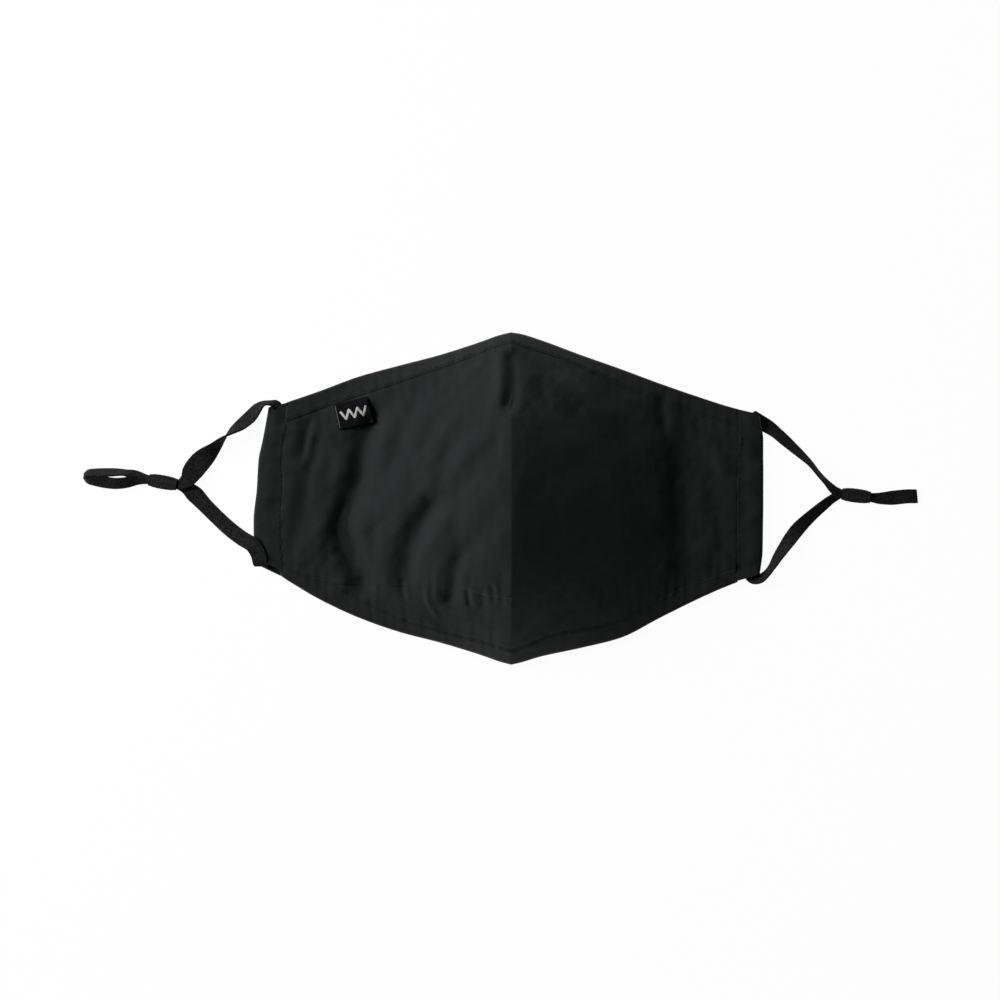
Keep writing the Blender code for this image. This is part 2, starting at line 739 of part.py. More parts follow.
def make_band(name, route, material):
    """Flat closed elastic band along a route."""
    points = [Vector((row.x, row.y, row.z)) * MILLIMETRE for row in route]
    sides = band_sides(points, route)
    count = len(points)
    stations = []
    for i in range(count):
        span = (points[(i + 1) % count] - points[i]).length
        tight = route[i].lean is None or route[(i + 1) % count].lean is None
        steps = max(TIGHT_STEPS if tight else 1, round(span / BAND_STEP))
        for k in range(steps):
            s = k / steps
            side = sides[i].lerp(sides[(i + 1) % count], s)
            width = blend(route[i].width, route[(i + 1) % count].width, s) * BAND_WIDTH
            stations.append((spline_point(points, i, s), side, width))
    mesh_data = bmesh.new()
    rings = []
    total = len(stations)
    half_thick = BAND_THICK / 2.0
    for i, (point, side, width) in enumerate(stations):
        ahead = (stations[(i + 1) % total][0] - stations[i - 1][0]).normalized()
        side = (side - ahead * side.dot(ahead)).normalized()
        face = ahead.cross(side)
        flat = width / 2.0 - BAND_CORNER
        rest = abs(side.z) * width / 2.0 + abs(face.z) * half_thick
        centre = Vector((point.x, point.y, max(point.z, rest + BAND_REST)))
        corners = [
            (-width / 2.0, 0.0), (-flat, half_thick), (flat, half_thick),
            (width / 2.0, 0.0), (flat, -half_thick), (-flat, -half_thick),
        ]
        rings.append([mesh_data.verts.new(centre + side * a + face * b) for a, b in corners])
    for near, far in zip(rings, rings[1:] + rings[:1]):
        for i in range(len(near)):
            j = (i + 1) % len(near)
            mesh_data.faces.new([near[i], near[j], far[j], far[i]])
    return new_object(name, mesh_data, material)


def slider_ring(centre, across, width, height, corner):
    """Rounded ring of a slider, round a centre."""
    a, b = width / 2.0, height / 2.0
    half_ring = [(a, -b + corner), (a, b - corner), (a - corner, b), (0.0, b), (corner - a, b)]
    ring = half_ring + [(-x, -z) for x, z in half_ring]
    return [centre + across * x + Vector((0.0, 0.0, z)) for x, z in ring]


def make_slider(name, place, material):
    """Short sleeve round the two passes of the band."""
    middle = Vector((place.x, place.y, 0.0)) * MILLIMETRE
    axis = Vector((math.cos(place.turn), math.sin(place.turn), 0.0))
    across = Vector((-axis.y, axis.x, 0.0))
    inner_width = BAND_WIDTH * SLIDER_SQUEEZE + 2.0 * SLIDER_FIT
    inner_height = 2.0 * BAND_THICK + 3.0 * SLIDER_FIT
    width, height = inner_width + 2.0 * SLIDER_WALL, inner_height + 2.0 * SLIDER_WALL
    centre_z = height / 2.0
    sections = []
    for row in SLIDER_SWELL:
        centre = middle + axis * SLIDER_LENGTH * row.along + Vector((0.0, 0.0, centre_z))
        outer = slider_ring(centre, across, width * row.swell, height, SLIDER_CORNER)
        inner = slider_ring(centre, across, inner_width, inner_height, SLIDER_HOLLOW_CORNER)
        sections.append((outer, inner))
    return tube(name, sections, material)


def make_label(name, material):
    """Woven tab that hangs from the top hem and lies on the left panel."""
    centre_x = RIDGE_X - LEFT_REACH * LABEL_REACH
    centre_y = HALF_HEIGHT * LABEL_RISE
    right = Vector((math.cos(LABEL_TILT), math.sin(LABEL_TILT), 0.0))
    up = Vector((-right.y, right.x, 0.0))
    columns, rows = LABEL_COLUMN_COUNT, LABEL_ROW_COUNT
    mesh_data = bmesh.new()
    upper, lower = {}, {}
    for i in range(columns + 1):
        for j in range(rows + 1):
            shift = right * LABEL_LENGTH * (i / columns - 0.5) + up * LABEL_DROP * (j / rows - 0.5)
            x, y = centre_x + shift.x, centre_y + shift.y
            near = CLOTH_WALL
            around = [(x, y), (x - near, y), (x + near, y), (x, y - near), (x, y + near)]
            z = max(cloth_height(a, b) for a, b in around) + LABEL_LIFT
            lower[i, j] = mesh_data.verts.new((x, y, z))
            upper[i, j] = mesh_data.verts.new((x, y, z + LABEL_THICK))
    for i in range(columns):
        for j in range(rows):
            keys = [(i, j), (i + 1, j), (i + 1, j + 1), (i, j + 1)]
            mesh_data.faces.new([upper[key] for key in keys])
            mesh_data.faces.new([lower[key] for key in reversed(keys)])
    rim = [(i, 0) for i in range(columns)] + [(columns, j) for j in range(rows)]
    rim += [(i, rows) for i in range(columns, 0, -1)] + [(0, j) for j in range(rows, 0, -1)]
    for a, b in zip(rim, rim[1:] + rim[:1]):
        mesh_data.faces.new([lower[a], lower[b], upper[b], upper[a]])
    return new_object(name, mesh_data, material)


def main():
    """Build every piece of the mask."""
    for item in list(bpy.data.objects):
        bpy.data.objects.remove(item, do_unlink=True)
    finish = {name: make_material(name, *values) for name, values in MATERIALS.items()}
    gap = SEAM_GAP / 2.0
    make_hem("top_hem", "top_hem", "top", gap, 0.0, finish["cloth"])
    make_hem("low_hem", "low", "low_hem", 0.0, gap, finish["cloth"])
    for half, word in ((LEFT, "left"), (RIGHT, "right")):
        make_panel(f"panel_{word}", half, finish["cloth"])
        make_chin(f"chin_{word}", half, finish["cloth"])
        make_channel(f"channel_{word}", half, finish["cloth"])
    left_route = channel_route(LEFT, LEFT_CHANNEL_PASS)
    left_route += LEFT_LOWER_LEG + slider_pass(LEFT_SLIDER, False, True, 180.0)
    left_route += LEFT_TAIL + slider_pass(LEFT_SLIDER, True, False, 180.0) + LEFT_UPPER_LEG
    right_route = channel_route(RIGHT, RIGHT_CHANNEL_PASS)
    right_route += RIGHT_UPPER_LEG + slider_pass(RIGHT_SLIDER, True, True, 180.0)
    right_route += RIGHT_TAIL + slider_pass(RIGHT_SLIDER, False, False, 360.0) + RIGHT_LOWER_LEG
    make_band("ear_loop_left", left_route, finish["elastic"])
    make_band("ear_loop_right", right_route, finish["elastic"])
    make_slider("slider_left", LEFT_SLIDER, finish["knit"])
    make_slider("slider_right", RIGHT_SLIDER, finish["knit"])
    make_label("label", finish["woven_label"])


main()
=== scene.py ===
"""Looks of a black cloth face mask that lies face up, with its two flat ear loops spread.

Metres, +Z up and the nose towards +Y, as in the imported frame. The cloth pieces follow the
same outline, seams and heights as their solids, on a finer grid with folds and puckers.
"""

import logging
import math
from dataclasses import dataclass
from enum import Enum
from typing import NamedTuple, Optional, Sequence

import bmesh
import bpy
import numpy as np
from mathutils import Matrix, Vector


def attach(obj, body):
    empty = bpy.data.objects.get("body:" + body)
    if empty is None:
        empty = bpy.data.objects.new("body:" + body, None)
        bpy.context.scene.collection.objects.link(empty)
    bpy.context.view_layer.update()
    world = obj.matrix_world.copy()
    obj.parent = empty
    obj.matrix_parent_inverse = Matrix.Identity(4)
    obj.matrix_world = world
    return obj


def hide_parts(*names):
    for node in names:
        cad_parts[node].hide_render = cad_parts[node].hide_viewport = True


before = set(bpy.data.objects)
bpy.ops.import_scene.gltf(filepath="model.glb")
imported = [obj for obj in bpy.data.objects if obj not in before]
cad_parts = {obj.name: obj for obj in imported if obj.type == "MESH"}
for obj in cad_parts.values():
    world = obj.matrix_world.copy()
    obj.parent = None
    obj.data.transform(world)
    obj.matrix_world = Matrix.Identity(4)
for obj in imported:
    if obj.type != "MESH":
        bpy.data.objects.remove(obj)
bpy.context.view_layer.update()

LOG = logging.getLogger("face_mask")
BODY = "root"
MM = 0.001
Array = np.ndarray
Piece = bpy.types.Object
Material = bpy.types.Material
Socket = bpy.types.NodeSocket
Colour = tuple[float, float, float]

# Cloth body, as in the solids
BODY_HEIGHT = 0.1525
LEFT_REACH = 0.1182
RIGHT_REACH = 0.1159
PEAK_HEIGHT = 0.046
NOSE_RIM_HEIGHT = 0.0125
CHIN_RIM_HEIGHT = 0.0045
SIDE_HEIGHT = 0.0042
CLOTH_WALL = 0.0020
TOP_HEM_WIDTH = 0.0083
LOW_HEM_WIDTH = 0.0074
HEM_PROUD = 0.0005
CHANNEL_WIDTH = 0.0125
CHANNEL_WALL = 0.0012
BAND_PASS_LIFT = 0.0018
BAND_WIDTH = 0.0070
BAND_THICK = 0.0010
BAND_REST = 0.0001
CHANNEL_SQUEEZE = 0.70
SLIDER_LENGTH = 0.0128
SLIDER_WALL = 0.0007
SLIDER_FIT = 0.0003
SLIDER_MOUTH = 0.0005
SLIDER_SQUEEZE = 0.58
LABEL_LENGTH = 0.0160
LABEL_DROP = 0.0120
LABEL_TILT = math.radians(13.0)
LABEL_REACH = 0.610
LABEL_RISE = 0.510
CHIN_END = 0.64
CHIN_CLOSE = 0.05
LEFT_CHANNEL_ENDS = (-0.385, 0.530)
RIGHT_CHANNEL_ENDS = (-0.440, 0.480)
LIFT_START = 0.72
LIFT_END = 0.89
RIDGE_X = (LEFT_REACH - RIGHT_REACH) / 2.0
HALF_HEIGHT = BODY_HEIGHT / 2.0

# Real lengths and flat sizes
LEFT_LOOP_LENGTH = 0.281
RIGHT_LOOP_LENGTH = 0.262

# Where the picture is taken from
LENS = 85.0
SENSOR = 36.0
VIEW_WIDTH = 0.460
VIEW_CENTRE = (-0.00391, -0.00069)
CAMERA_HEIGHT = VIEW_WIDTH * LENS / SENSOR

# How the cloth meets its seams and edges
SEAM_DIP = 0.00020
SEAM_ROUND = 0.0012
SIDE_DIP = 0.00012
PANEL_CHIN_ROUND = 0.0007
CHIN_ROUND = 0.0040
LOW_PROUD = 0.4
RIDGE_DIP = 0.00008
RIDGE_ROUND = 0.0007
HEM_ROUND = 0.0012
LEAST_Z = 0.05 * MM
TUCK_OFFSETS = (-1.2, -0.6, -0.2, 0.0, 0.15, 0.35, 0.65, 1.1)
ROLL_OFFSETS = (0.0, 0.03, 0.11, 0.26, 0.5, 0.85, 1.25, 1.6)
LEAST_WALL = 0.3 * MM
LEAST_HALF_WALL = 0.04 * MM
EDGE_MARGIN = 2.0 * MM
GRID_STEP = 0.8 * MM
CHIN_GRID_STEP = 0.6 * MM
HEM_GRID_STEP = 0.5 * MM
HEM_COLUMN_STEP = 0.7 * MM
PANEL_SPAN = 0.103
PANEL_DEPTH = 0.108
CHIN_DEPTH = 0.022
HEM_DEPTH = 0.008
LEAST_ROOM = 0.04
LATTICE_ROUNDS = 6
CREASE_STEPS = 10
SHOULDER_PLACE = 2.0
SHOULDER_WIDTH = 1.3
SWELL_PLACE = 1.9
SWELL_WIDTH = 0.9
RIDGE_SPILL = 0.006
EDGE_FADE = 0.012
RIDGE_FADE = 0.05
SIDE_FADE = 0.010
STREAK_BLEND = 0.030


class Side(Enum):
    """A side of the centre seam."""

    LEFT = -1
    RIGHT = 1


CHIN_DIPS = {Side.LEFT: 0.00036, Side.RIGHT: 0.00010}


class Line(Enum):
    """An edge or seam from the centre seam to a side, by its column in the tables."""

    TOP = "top"
    LOW = "low"
    TOP_HEM = "top_hem"
    LOW_HEM = "low_hem"
    CHIN = "chin"


class Border(Enum):
    """How a cloth piece ends: tucked below its neighbour, rolled free, or run on."""

    TUCKED = "tucked"
    ROLLED = "rolled"
    PLAIN = "plain"


class EdgeRow(NamedTuple):
    """Edges of one half, at a share of its reach, as shares of half the body height."""

    reach: float
    top: float
    low: float


class SideRow(NamedTuple):
    """Side edge of one half: its share of the reach, and the channel's share of its width."""

    height: float
    reach: float
    channel: float


class SeamRow(NamedTuple):
    """Hem widths as shares of the named ones, and the chin seam."""

    reach: float
    top_hem: float
    low_hem: float
    chin: float


class FormRow(NamedTuple):
    """Section across one half. Roof is a share of the peak, rims go from nose or chin to side."""

    reach: float
    roof: float
    rim: float


class RiseRow(NamedTuple):
    """Section along the ridge, from the lower edge (0) to the upper edge (1)."""

    along: float
    rise: float


class RouteRow(NamedTuple):
    """A point of an ear loop's route in millimetres. Lean turns the band, None is a tight fold."""

    x: float
    y: float
    z: float
    lean: Optional[float]
    width: float


class SliderPlace(NamedTuple):
    """Middle of a slider in millimetres, and its turn in radians."""

    x: float
    y: float
    turn: float


def table(kind: type, *rows: tuple) -> tuple:
    """Table of rows of one kind."""
    return tuple(kind(*row) for row in rows)


LEFT_EDGES = table(
    EdgeRow,
    (0, 0.992, -1), (0.043, 0.977, -0.982), (0.121, 0.936, -0.94), (0.276, 0.861, -0.867),
    (0.432, 0.799, -0.804), (0.588, 0.734, -0.719), (0.743, 0.646, -0.607), (0.852, 0.588, -0.508),
    (0.938, 0.546, -0.426), (1, 0.54, -0.39),
)
RIGHT_EDGES = table(
    EdgeRow,
    (0, 0.992, -1), (0.036, 0.984, -0.988), (0.115, 0.949, -0.952), (0.274, 0.862, -0.9),
    (0.433, 0.778, -0.839), (0.591, 0.69, -0.717), (0.75, 0.607, -0.598), (0.85, 0.558, -0.531),
    (0.909, 0.534, -0.497), (1, 0.508, -0.446),
)
LEFT_SIDE = table(
    SideRow,
    (-0.41, 1, 1.08), (-0.13, 1, 1.05), (0.05, 0.988, 1), (0.23, 0.981, 0.9), (0.35, 0.965, 0.82),
    (0.58, 0.938, 0.68),
)
RIGHT_SIDE = table(
    SideRow,
    (-0.47, 0.984, 0.9), (-0.31, 0.997, 0.98), (0.11, 1, 1), (0.35, 0.998, 0.9), (0.52, 0.979, 0.76),
)
LEFT_SEAMS = table(
    SeamRow,
    (0, 0.6, 1, -0.59), (0.08, 0.62, 1, -0.577), (0.18, 0.7, 0.88, -0.536), (0.32, 0.82, 0.84, -0.529),
    (0.52, 1.04, 1.1, -0.525), (0.64, 1.06, 1.36, -0.52), (0.7, 1, 1.44, -0.47), (0.8, 1.02, 1, -0.4),
    (1, 1.1, 0.6, -0.25),
)
RIGHT_SEAMS = table(
    SeamRow,
    (0, 0.6, 1, -0.59), (0.08, 0.74, 1.1, -0.585), (0.18, 0.66, 1.3, -0.565), (0.36, 0.82, 1.2, -0.545),
    (0.52, 0.98, 1.2, -0.53), (0.64, 0.96, 1.2, -0.5), (0.72, 0.96, 1.1, -0.44), (0.8, 0.96, 0.95, -0.38),
    (1, 0.96, 0.8, -0.25),
)
SECTION = table(
    FormRow,
    (0, 1, 1), (0.03, 0.975, 0.9), (0.15, 0.83, 0.58), (0.3, 0.63, 0.34), (0.45, 0.415, 0.18),
    (0.58, 0.235, 0.08), (0.66, 0.135, 0.03), (0.73, 0.103, 0), (0.85, 0.094, 0), (1, 0.091, 0),
)
RIDGE = table(
    RiseRow,
    (0, 0), (0.05, 0.2), (0.125, 0.46), (0.25, 0.79), (0.375, 0.96), (0.5, 1), (0.625, 0.93), (0.75, 0.76),
    (0.875, 0.46), (0.95, 0.22), (1, 0),
)
LEFT_SLIDER = SliderPlace(-158.7, 7.5, math.radians(170.0))
RIGHT_SLIDER = SliderPlace(159.6, 1.3, math.radians(-7.0))
SLIDER_PASS = (-1.0, -0.6, 0.0, 0.6, 1.0)
LEFT_CHANNEL_PASS = (0.94, 0.84, 0.70, 0.50, 0.30, 0.12, 0.05)
RIGHT_CHANNEL_PASS = (0.05, 0.12, 0.30, 0.50, 0.70, 0.80, 0.89, 0.96)
LEFT_LOWER_LEG = table(
    RouteRow,
    (-112.8, -29.3, 2.1, 0, 0.72), (-113.3, -30.8, 3.6, None, 0.86), (-113.7, -29.3, 5.1, 180, 0.98),
    (-114.6, -25.6, 5.1, 180, 1), (-117, -21.6, 5.1, 180, 1), (-122.3, -18.2, 3.4, 180, 1),
    (-127.8, -14.2, 1.6, 180, 1), (-133.6, -9, 0.7, 180, 0.98), (-139.6, -3, 0.7, 180, 1),
    (-144.6, 2.2, 0.8, 180, 1.16), (-148.2, 5, 1.3, 180, 0.84),
)
LEFT_TAIL = table(
    RouteRow,
    (-170.2, 8.7, 1.9, 212, 0.76), (-175, 7.4, 2.7, 230, 0.98), (-180.6, 6.9, 2.8, 227, 1),
    (-185.6, 7.5, 2.9, 223, 1), (-190, 8.1, 3.1, 232, 1), (-193.2, 8.6, 3.3, 244, 1),
    (-194.2, 9.5, 3.4, 246, 1), (-194.2, 10.6, 3.6, 246, 1), (-193.2, 11.4, 3.8, 244, 1),
    (-190, 11.75, 3.9, 240, 1), (-185.6, 11.85, 3.9, 238, 1), (-180.6, 12, 3.8, 242, 1),
    (-175, 11.7, 3.8, 252, 0.98), (-170.4, 10.2, 3.3, 204, 0.76),
)
LEFT_UPPER_LEG = table(
    RouteRow,
    (-147.6, 8.2, 3.3, 172, 0.98), (-145, 12.2, 3.2, 172, 1.38), (-141.7, 16.5, 2.8, 176, 1.42),
    (-138.4, 19.8, 2.7, 162, 1.26), (-135, 23.1, 3.3, 132, 1.06), (-130.8, 27.5, 3.8, 98, 1),
    (-127.2, 30.6, 3.6, 66, 1), (-122.9, 33.8, 2.8, 38, 1), (-118.4, 37.7, 2.4, 28, 1),
    (-115, 41.4, 2.9, 44, 1), (-111, 43.8, 3.7, 80, 1), (-108.1, 43.5, 3.5, 72, 0.94),
    (-106.5, 42.5, 2.7, 30, 0.8), (-106.1, 41.1, 2.1, 0, 0.7),
)
RIGHT_UPPER_LEG = table(
    RouteRow,
    (110.9, 37.4, 3.9, 0, 0.72), (111.2, 38.6, 2.2, None, 0.82), (111.8, 37.8, 0.6, 180, 0.92),
    (115.2, 35.4, 0.6, 180, 0.98), (119.3, 32.9, 1.5, 200, 0.98), (122.6, 30.4, 2.6, 218, 1),
    (126.4, 27.1, 2.8, 220, 1), (130.5, 23.4, 3.1, 229, 1), (134.6, 19.7, 3.4, 238, 1),
    (138.6, 15.8, 3.6, 248, 1), (142.2, 11.3, 3.7, 251, 1), (145.8, 7.3, 3.7, 248, 0.96),
    (149.6, 3.6, 3.3, 218, 0.68),
)
RIGHT_TAIL = table(
    RouteRow,
    (169.8, 0.1, 2.5, 180, 0.74), (176, 0.4, 2, 180, 0.92), (183.6, 1.1, 1.9, 180, 0.9),
    (187.4, 1, 1.25, None, 0.92), (183.6, 0.9, 0.6, 360, 0.9), (176, 0.2, 0.6, 360, 0.92),
    (169.8, 0.1, 1.1, 360, 0.74),
)
RIGHT_LOWER_LEG = table(
    RouteRow,
    (149.8, 0.6, 1.8, 392, 0.62), (144.6, -3.2, 2.3, 400, 0.88), (139.7, -7.3, 2.1, 396, 0.94),
    (135.3, -11.5, 1.4, 382, 0.94), (131.1, -16.3, 1.2, 346, 0.92), (127.2, -21.5, 2.6, 316, 0.98),
    (123.6, -26.7, 3.2, 301, 1), (120.6, -31.6, 3.5, 286, 1), (118.2, -34.6, 3.5, 288, 1),
    (115.6, -36.6, 3.3, 304, 0.94), (112.8, -36.9, 2.8, 324, 0.86), (111.2, -35.8, 2.3, 346, 0.78),
    (110.8, -34, 2.1, 360, 0.72),
)


def hermite(s: Array, start: Array, leaving: Array, end: Array, arriving: Array) -> Array:
    """Cubic from start to end with a slope at either, at share s of the way."""
    value = (2 * s**3 - 3 * s**2 + 1) * start + (s**3 - 2 * s**2 + s) * leaving
    return value + (3 * s**2 - 2 * s**3) * end + (s**3 - s**2) * arriving


def ease(share: Array) -> Array:
    """Soft step from 0 to 1."""
    s = np.clip(share, 0.0, 1.0)
    return s * s * (3.0 - 2.0 * s)


class Curve:
    """Monotone cubic curve through a column of a table, flat beyond its ends."""

    def __init__(self, rows: Sequence[NamedTuple], name: str) -> None:
        """Prepare the curve.

        Args:
            rows: The table, whose first column is the place.
            name: The column.
        """
        self.knots = np.array([row[0] for row in rows], float)
        self.values = np.array([getattr(row, name) for row in rows], float)
        self.spans = np.diff(self.knots)
        slopes = np.diff(self.values) / self.spans
        before, after = slopes[:-1], slopes[1:]
        rising = before * after > 0.0
        middle = np.where(rising, 2.0 * before * after / np.where(rising, before + after, 1.0), 0.0)
        self.tangents = np.concatenate([slopes[:1], middle, slopes[-1:]])

    def __call__(self, place: Array) -> Array:
        """Values of the curve.

        Args:
            place: Places along the table.

        Returns:
            The value at each place.
        """
        x = np.clip(place, self.knots[0], self.knots[-1])
        i = np.clip(np.searchsorted(self.knots, x, side="left") - 1, 0, len(self.spans) - 1)
        span = self.spans[i]
        slopes = self.tangents[i] * span, self.tangents[i + 1] * span
        return hermite((x - self.knots[i]) / span, self.values[i], slopes[0], self.values[i + 1], slopes[1])


@dataclass
class HalfPattern:
    """Outline and seams of one half of the cloth body."""

    side: Side
    reach: float
    edges: Sequence[EdgeRow]
    sides: Sequence[SideRow]
    seams: Sequence[SeamRow]
    channel_ends: tuple[float, float]

    def __post_init__(self) -> None:
        """Turn the tables into curves."""
        self.sign = float(self.side.value)
        self.ends = tuple(share * HALF_HEIGHT for share in self.channel_ends)
        tables = {line: self.edges if line in (Line.TOP, Line.LOW) else self.seams for line in Line}
        self.curves = {line: Curve(rows, line.value) for line, rows in tables.items()}
        self.edge = Curve(self.sides, "reach")
        self.channel = Curve(self.sides, "channel")

    def outward(self, x: Array) -> Array:
        """Distance from the centre seam, negative past it."""
        return self.sign * (x - RIDGE_X)

    def share(self, x: Array) -> Array:
        """Share of the reach at x, never below 0."""
        return np.maximum(self.outward(x) / self.reach, 0.0)

    def line(self, name: Line, x: Array) -> Array:
        """Y of an edge or seam.

        Args:
            name: Which one.
            x: Places across the mask.

        Returns:
            Its Y at each place.
        """
        u = self.share(x)
        value = self.curves[name](u)
        if name is Line.TOP_HEM:
            return self.line(Line.TOP, x) - value * TOP_HEM_WIDTH
        if name is Line.LOW_HEM:
            return self.line(Line.LOW, x) + value * LOW_HEM_WIDTH
        if name is Line.CHIN:
            hem = self.line(Line.LOW_HEM, x)
            closing = ease((u - CHIN_END) / CHIN_CLOSE)
            return np.maximum(value * HALF_HEIGHT, hem) * (1.0 - closing) + hem * closing
        return value * HALF_HEIGHT

    def edge_x(self, y: Array) -> Array:
        """X of the side edge at y."""
        return RIDGE_X + self.sign * self.reach * self.edge(y / HALF_HEIGHT)

    def seam_x(self, y: Array) -> Array:
        """X of the seam between panel and side channel at y."""
        return self.edge_x(y) - self.sign * CHANNEL_WIDTH * self.channel(y / HALF_HEIGHT)

    def seam_away(self, x: Array, y: Array) -> Array:
        """Distance inside the channel's seam."""
        return self.sign * (self.seam_x(y) - x)

    def channel_width(self, y: Array) -> Array:
        """Width of the side channel at y."""
        return self.sign * (self.edge_x(y) - self.seam_x(y))


LEFT = HalfPattern(Side.LEFT, LEFT_REACH, LEFT_EDGES, LEFT_SIDE, LEFT_SEAMS, LEFT_CHANNEL_ENDS)
RIGHT = HalfPattern(Side.RIGHT, RIGHT_REACH, RIGHT_EDGES, RIGHT_SIDE, RIGHT_SEAMS, RIGHT_CHANNEL_ENDS)
HALVES = {"left": LEFT, "right": RIGHT}


@dataclass(frozen=True)
class Crease:
    """A fold, drawn downwards in millimetres on the picture plane.

    A negative depth is a crest. Left and right are its widths on either side. The shoulder
    is a low crest beside its right-hand side, and the swell a wide one beside its left.
    """

    points: tuple[tuple[float, float], ...]
    depth: float
    left: float
    right: float
    shoulder: float = 0.0
    swell: float = 0.0
    taper: float = 0.28

    def drop(self, x: Array, y: Array) -> Array:
        """How far the fold lowers the cloth.

        Args:
            x: Places across the picture plane.
            y: Places up it.

        Returns:
            The drop at each place.
        """
        line = smooth_line(np.array(self.points) * MM, CREASE_STEPS)
        nearest = np.full(x.shape, np.inf)
        offset = np.zeros(x.shape)
        along = np.zeros(x.shape)
        count = len(line) - 1
        for k, (start, step) in enumerate(zip(line, np.diff(line, axis=0))):
            far_x, far_y = x - start[0], y - start[1]
            t = np.clip((far_x * step[0] + far_y * step[1]) / float(np.hypot(*step)) ** 2, 0.0, 1.0)
            dx, dy = far_x - t * step[0], far_y - t * step[1]
            away = np.hypot(dx, dy)
            closer = away < nearest
            nearest = np.where(closer, away, nearest)
            offset = np.where(closer, away * np.sign(step[0] * dy - step[1] * dx), offset)
            along = np.where(closer, (k + t) / count, along)
        width = np.where(offset < 0.0, self.left, self.right) * MM
        ends = ease(np.minimum(along, 1.0 - along) / self.taper)
        beside = (offset / MM - SHOULDER_PLACE * self.right) / (SHOULDER_WIDTH * self.right)
        behind = (offset / MM + SWELL_PLACE * self.left) / (SWELL_WIDTH * self.left)
        valley = self.depth * np.exp(-((offset / width) ** 2)) - self.shoulder * np.exp(-(beside**2))
        return (valley - self.swell * np.exp(-(behind**2))) * ends * MM


def smooth_line(points: Array, steps: int) -> Array:
    """Open smooth curve through points.

    Args:
        points: The points, one a row.
        steps: Steps from one point to the next.

    Returns:
        The points of the curve.
    """
    ends = [2 * points[0] - points[1], *points, 2 * points[-1] - points[-2]]
    out = []
    for p0, p1, p2, p3 in zip(ends, ends[1:], ends[2:], ends[3:]):
        for s in (k / steps for k in range(steps)):
            value = 2 * p1 + (p2 - p0) * s + (2 * p0 - 5 * p1 + 4 * p2 - p3) * s**2
            out.append(0.5 * (value + (3 * p1 - p0 - 3 * p2 + p3) * s**3))
    return np.array([*out, points[-1]])


CREASES = table(
    Crease,
    # Deep folds of the left cheek
    (((-59, 45), (-61.4, 37), (-64, 28), (-66.4, 18), (-68, 8), (-70.6, 0), (-73.2, -6.5), (-74.8, -12),
      (-72.4, -20), (-69.4, -29), (-66.6, -38), (-65.4, -47)), 6.4, 6.4, 3.8, 0, 0.8, 0.11),
    (((-31, 4), (-34.6, -3), (-40.6, -14), (-44.8, -24), (-46.6, -33), (-46.8, -47)), 5.6, 6.2, 4.2, 0,
      0.8, 0.26),
    (((-17.6, -19.5), (-22.4, -28), (-25, -36), (-26.4, -46), (-26.8, -51)), 3.2, 4.4, 2.8, 0, 0.5, 0.28),
    (((-90.4, 40), (-93.2, 28), (-96.6, 14)), 1.5, 3, 1.7, 0.4, 0.4),
    (((-86, 33), (-88.4, 22), (-93, 6), (-92, -12)), 0.9, 4, 2.6, 0.3, 0.5),
    (((-45, 42), (-52, 22), (-60, 4)), 0.9, 5, 3.2, 0.3, 0.5),
    (((-22, 34), (-29, 16), (-34, 2)), 0.7, 4.5, 3, 0.2, 0.4),
    (((-59, -8), (-62.5, -20), (-62, -34)), 0.8, 3.4, 2.2, 0.3, 0.3),
    # Pinches across the left chin seam
    (((-47.9, -36), (-48.6, -41), (-47.6, -49)), 1, 1.5, 1.1, 0.5),
    (((-19.2, -40), (-18.6, -45), (-17.2, -51.5)), 1, 1.2, 0.9, 0.4),
    (((-38.4, -39.5), (-37.6, -46), (-34.6, -52), (-31.2, -56)), -0.8, 1.2, 1.6, 0),
    (((-8.4, -38), (-7.2, -43), (-6.8, -49)), 0.7, 1.4, 1, 0.3),
    (((-12.8, -41), (-12.2, -46), (-12, -52)), 0.5, 1.3, 1, 0.2),
    # Dent along the nose seam
    (((0.6, 70.5), (1.6, 62), (1.8, 53), (0.8, 45), (-2.2, 38)), 3.5, 2.9, 3.6, 0, 0.8, 0.2),
    (((2.2, 49), (0.6, 43.5), (-1.2, 39.5)), -0.7, 0.7, 0.7, 0),
    # Right cheek
    (((78.4, 33), (80, 10), (80.9, -20), (80.6, -47)), 1.4, 6, 6, 0, 0, 0.2),
    (((17.8, 59.5), (31, 46), (45.8, 31.5)), -1.7, 3.2, 6, 0),
    (((70.4, 51), (70.8, 40), (71.6, 28)), 1.4, 2.8, 2.4, 0.4),
    (((13, 58), (16, 46), (21, 36)), 0.9, 3.2, 2.4, 0.3),
    (((86, -19), (97, -26), (108, -35)), -1.2, 2.6, 2.6, 0),
    (((88, -29), (98, -35), (106, -39)), 0.9, 2.2, 1.8, 0),
    (((87, 30), (95, 22), (101, 8)), -0.9, 3.4, 3.4, 0),
)


@dataclass(frozen=True)
class Ripples:
    """Soft random waves with a fixed seed."""

    seed: int
    shortest: float
    longest: float
    height: float
    count: int = 26
    first_turn: float = 0.0
    last_turn: float = math.pi

    def __call__(self, x: Array, y: Array) -> Array:
        """Heights of the waves.

        Args:
            x: Places across.
            y: Places up.

        Returns:
            The height at each place.
        """
        rng = np.random.default_rng(self.seed)
        total = np.zeros(np.broadcast(x, y).shape)
        for _ in range(self.count):
            turn = rng.uniform(self.first_turn, self.last_turn)
            wave = 2.0 * math.pi / rng.uniform(self.shortest, self.longest)
            phase = rng.uniform(0.0, 2.0 * math.pi)
            total += np.sin((x * math.cos(turn) + y * math.sin(turn)) * wave + phase)
        return total * self.height * math.sqrt(2.0 / self.count)


